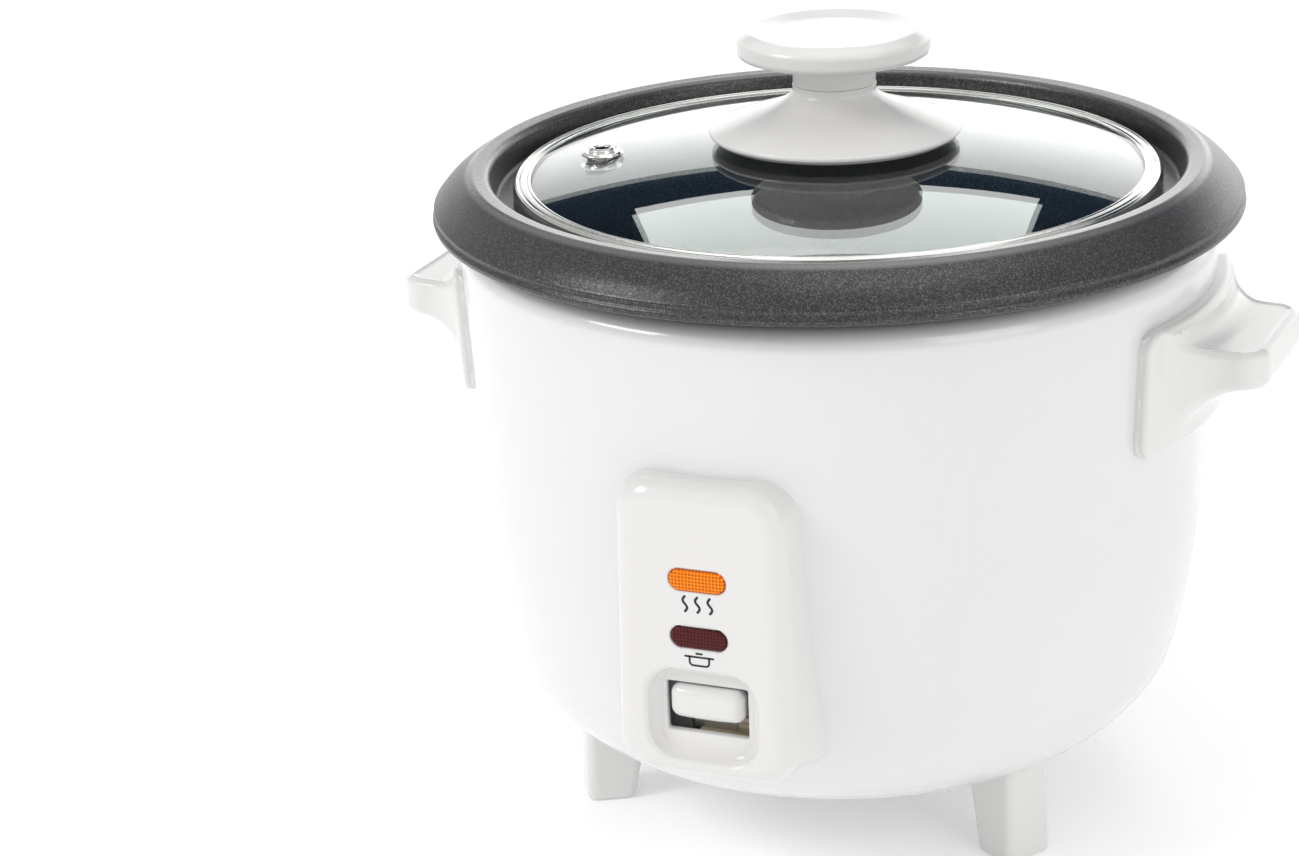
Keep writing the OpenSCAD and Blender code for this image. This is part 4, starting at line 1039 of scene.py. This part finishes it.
def wave(x, low, high, n=14, swing=0.55):
    """A rising wave of steam."""
    return [(x + swing * math.sin(TAU * i / n), low + (high - low) * i / n) for i in range(n + 1)]


def pan(w, top, bottom, r=0.9, n=6):
    """The sides and floor of a cooking pan, as one stroke with round corners."""
    left = [(-w + r - r * math.cos(a), bottom + r - r * math.sin(a))
            for a in [math.pi / 2 * i / n for i in range(n + 1)]]
    return [(-w, top)] + left + [(-x, z) for x, z in reversed(left)] + [(w, top)]


def level_stroke(half, z):
    return [(-half, z), (0, z), (half, z)]


warm_mark = ribbons("warm_pictogram", [wave(x, -1.9, 1.9) for x in (-3.2, 0.0, 3.2)], 0.62, WARM_Z - 6.0)
cook_mark = ribbons(
    "cook_pictogram", [pan(2.5, 0.8, -1.4), level_stroke(3.6, 0.8), level_stroke(0.7, 1.7)],
    0.5, COOK_Z - 5.6)
for mark in (warm_mark, cook_mark):
    mark.data.materials.append(MATERIALS["panel_ink"].material)
    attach(mark, "base")


# ---------------------------------------------------------------- switch lever

KEY_FRONT, KEY_BACK = LEVER_LOW[1], LEVER_HIGH[1]
KEY_R = 2.6
ARM_SLOT = (11.05, 3.05)  # the lever arm's end, with its clearance
ARM_SLOT_DEPTH = 3.1


def key_shape(x, y, z):
    """The switch's knob: a rounded key with a crowned front that slopes under."""
    front = KEY_FRONT + 0.008 * x ** 2 + 0.05 * np.maximum(SWITCH_Z - 1 - z, 0) ** 2
    block = rect(x, z - SWITCH_Z, LEVER_HIGH[0] * 2, LEVER_HIGH[2] - LEVER_LOW[2], KEY_R)
    block = meet_round(meet_round(block, front - y, KEY_R), y - KEY_BACK, 0.4)
    slot = np.maximum(rect(x, z - SWITCH_Z - 0.5, *ARM_SLOT, 0.1), KEY_BACK - ARM_SLOT_DEPTH - y)
    return np.maximum(block, -slot)


key = implicit("lever_key", key_shape, (-11, KEY_FRONT - 1, LEVER_LOW[2] - 1),
               (11, KEY_BACK + 1, LEVER_HIGH[2] + 1), 0.35)
stand_in(key, "lever_knob")

STRIP_X, STRIP_HALF, STRIP_T = 3.4, 7.2, 0.9


def strip_shape(x, y, z):
    """An angle of thin strip behind the switch's window."""
    ends = np.abs(x - STRIP_X) - STRIP_HALF
    upright = meet_round(rect(y + 91.6, z - 53.6, STRIP_T, 4.2, 0.3), ends, 0.2)
    shelf = meet_round(rect(y + 93.4, z - 51.6, 4.4, STRIP_T, 0.3), ends, 0.2)
    return join_round(upright, shelf, 0.3)


strip = implicit("switch_contact_strip", strip_shape, (-5, -96.4, 50.5), (12, -90.5, 56.5), 0.3)
trim(strip, "heater_wrap", "base")


# ---------------------------------------------------------------- CAD nodes that stay

for name, node in frame["nodes"].items():
    if not node.hide_render:
        dress(node, SLOT_OF[name])


# ---------------------------------------------------------------- floor, light and camera


def sheet(name, rows, half, colour, glow):
    """A matt stage surface swept along X through rows of (y, z)."""
    shader = Shader(name, colour, 0.9, Emission_Strength=glow)
    shader.set("Emission Color", (1.0, 1.0, 1.0, 1.0))
    data = bpy.data.meshes.new(name)
    verts = [(x, y, z) for y, z in rows for x in (-half, half)]
    faces = [(2 * i, 2 * i + 1, 2 * i + 3, 2 * i + 2) for i in range(len(rows) - 1)]
    data.from_pydata(verts, [], faces)
    data.polygons.foreach_set("use_smooth", [True] * len(faces))
    data.materials.append(shader.material)
    obj = bpy.data.objects.new(name, data)
    bpy.context.scene.collection.objects.link(obj)


FLOOR_Z = -0.0002  # a hair under the feet
FRONT_Y, BACK_Y, BACK_TOP, SWEEP_R = -4.0, 2.5, 1.3, 0.6
CLOTH_Y, CLOTH_TOP = BACK_Y + 0.02, 2.6
sweep = arc(BACK_Y - SWEEP_R, FLOOR_Z + SWEEP_R, SWEEP_R, -90, 0, 16)
paper = [(FRONT_Y, FLOOR_Z)] + sweep + [(BACK_Y, BACK_TOP)]
sheet("floor_paper", paper, 4.0, (0.95, 0.95, 0.95), 0.17)
# A dark blue cloth over the backdrop, which the lid mirrors as a band
cloth = [(CLOTH_Y, BACK_TOP - 0.02), (CLOTH_Y, CLOTH_TOP)]
sheet("dark_cloth", cloth, 3.2, (0.012, 0.03, 0.06), 0.0)


def area_light(name, place, target, size, power, colour=(1, 1, 1)):
    data = bpy.data.lights.new(name, "AREA")
    data.shape = "RECTANGLE"
    data.size, data.size_y = size
    data.energy = power
    data.color = colour
    light = bpy.data.objects.new(name, data)
    light.location = place
    light.rotation_euler = (Vector(target) - Vector(place)).to_track_quat("-Z", "Y").to_euler()
    bpy.context.scene.collection.objects.link(light)


MIDDLE, UPPER, LID = (0, 0, 0.1), (0, 0, 0.15), (0, 0, 0.17)
area_light("key", (-1.3, -1.1, 1.3), MIDDLE, (0.8, 0.7), 14)
area_light("fill", (1.6, -0.8, 0.9), MIDDLE, (1.0, 1.3), 7)
area_light("top", (0.2, 0.1, 1.9), UPPER, (1.4, 1.2), 5)
area_light("wash", (0, 1.7, 0.5), (0, BACK_Y, 0.9), (3.4, 0.5), 22)
area_light("mirror", (-0.70, 1.9, 1.65), LID, (0.95, 0.62), 6, (0.97, 1.0, 0.97))

world = bpy.data.worlds.new("studio")
world.use_nodes = True
sky = world.node_tree.nodes["Background"].inputs
sky["Color"].default_value = (1.0, 0.992, 0.98, 1.0)
sky["Strength"].default_value = 0.66
bpy.context.scene.world = world
bpy.context.scene.view_settings.view_transform = "Standard"

# The camera, in the object's frame: place, the way it looks, its right hand and its lens
CAMERA_AT = Vector((0.2970, -0.8073, 0.4092))
FORWARD = Vector((-0.37714, 0.86055, -0.34238))
RIGHT = Vector((0.92090, 0.38775, -0.03981))
SENSOR_W, LENS = 36.0, 96.9618
SHIFT = (0.0056154, 0.0090769)

camera_data = bpy.data.cameras.new("camera")
camera_data.sensor_width, camera_data.lens = SENSOR_W, LENS
camera_data.shift_x, camera_data.shift_y = SHIFT
camera_data.clip_start, camera_data.clip_end = 0.02, 30
camera = bpy.data.objects.new("camera", camera_data)
turn = Matrix((RIGHT, RIGHT.cross(FORWARD), -FORWARD)).transposed()
camera.matrix_world = Matrix.Translation(CAMERA_AT) @ turn.to_4x4()
bpy.context.scene.collection.objects.link(camera)
bpy.context.scene.camera = camera
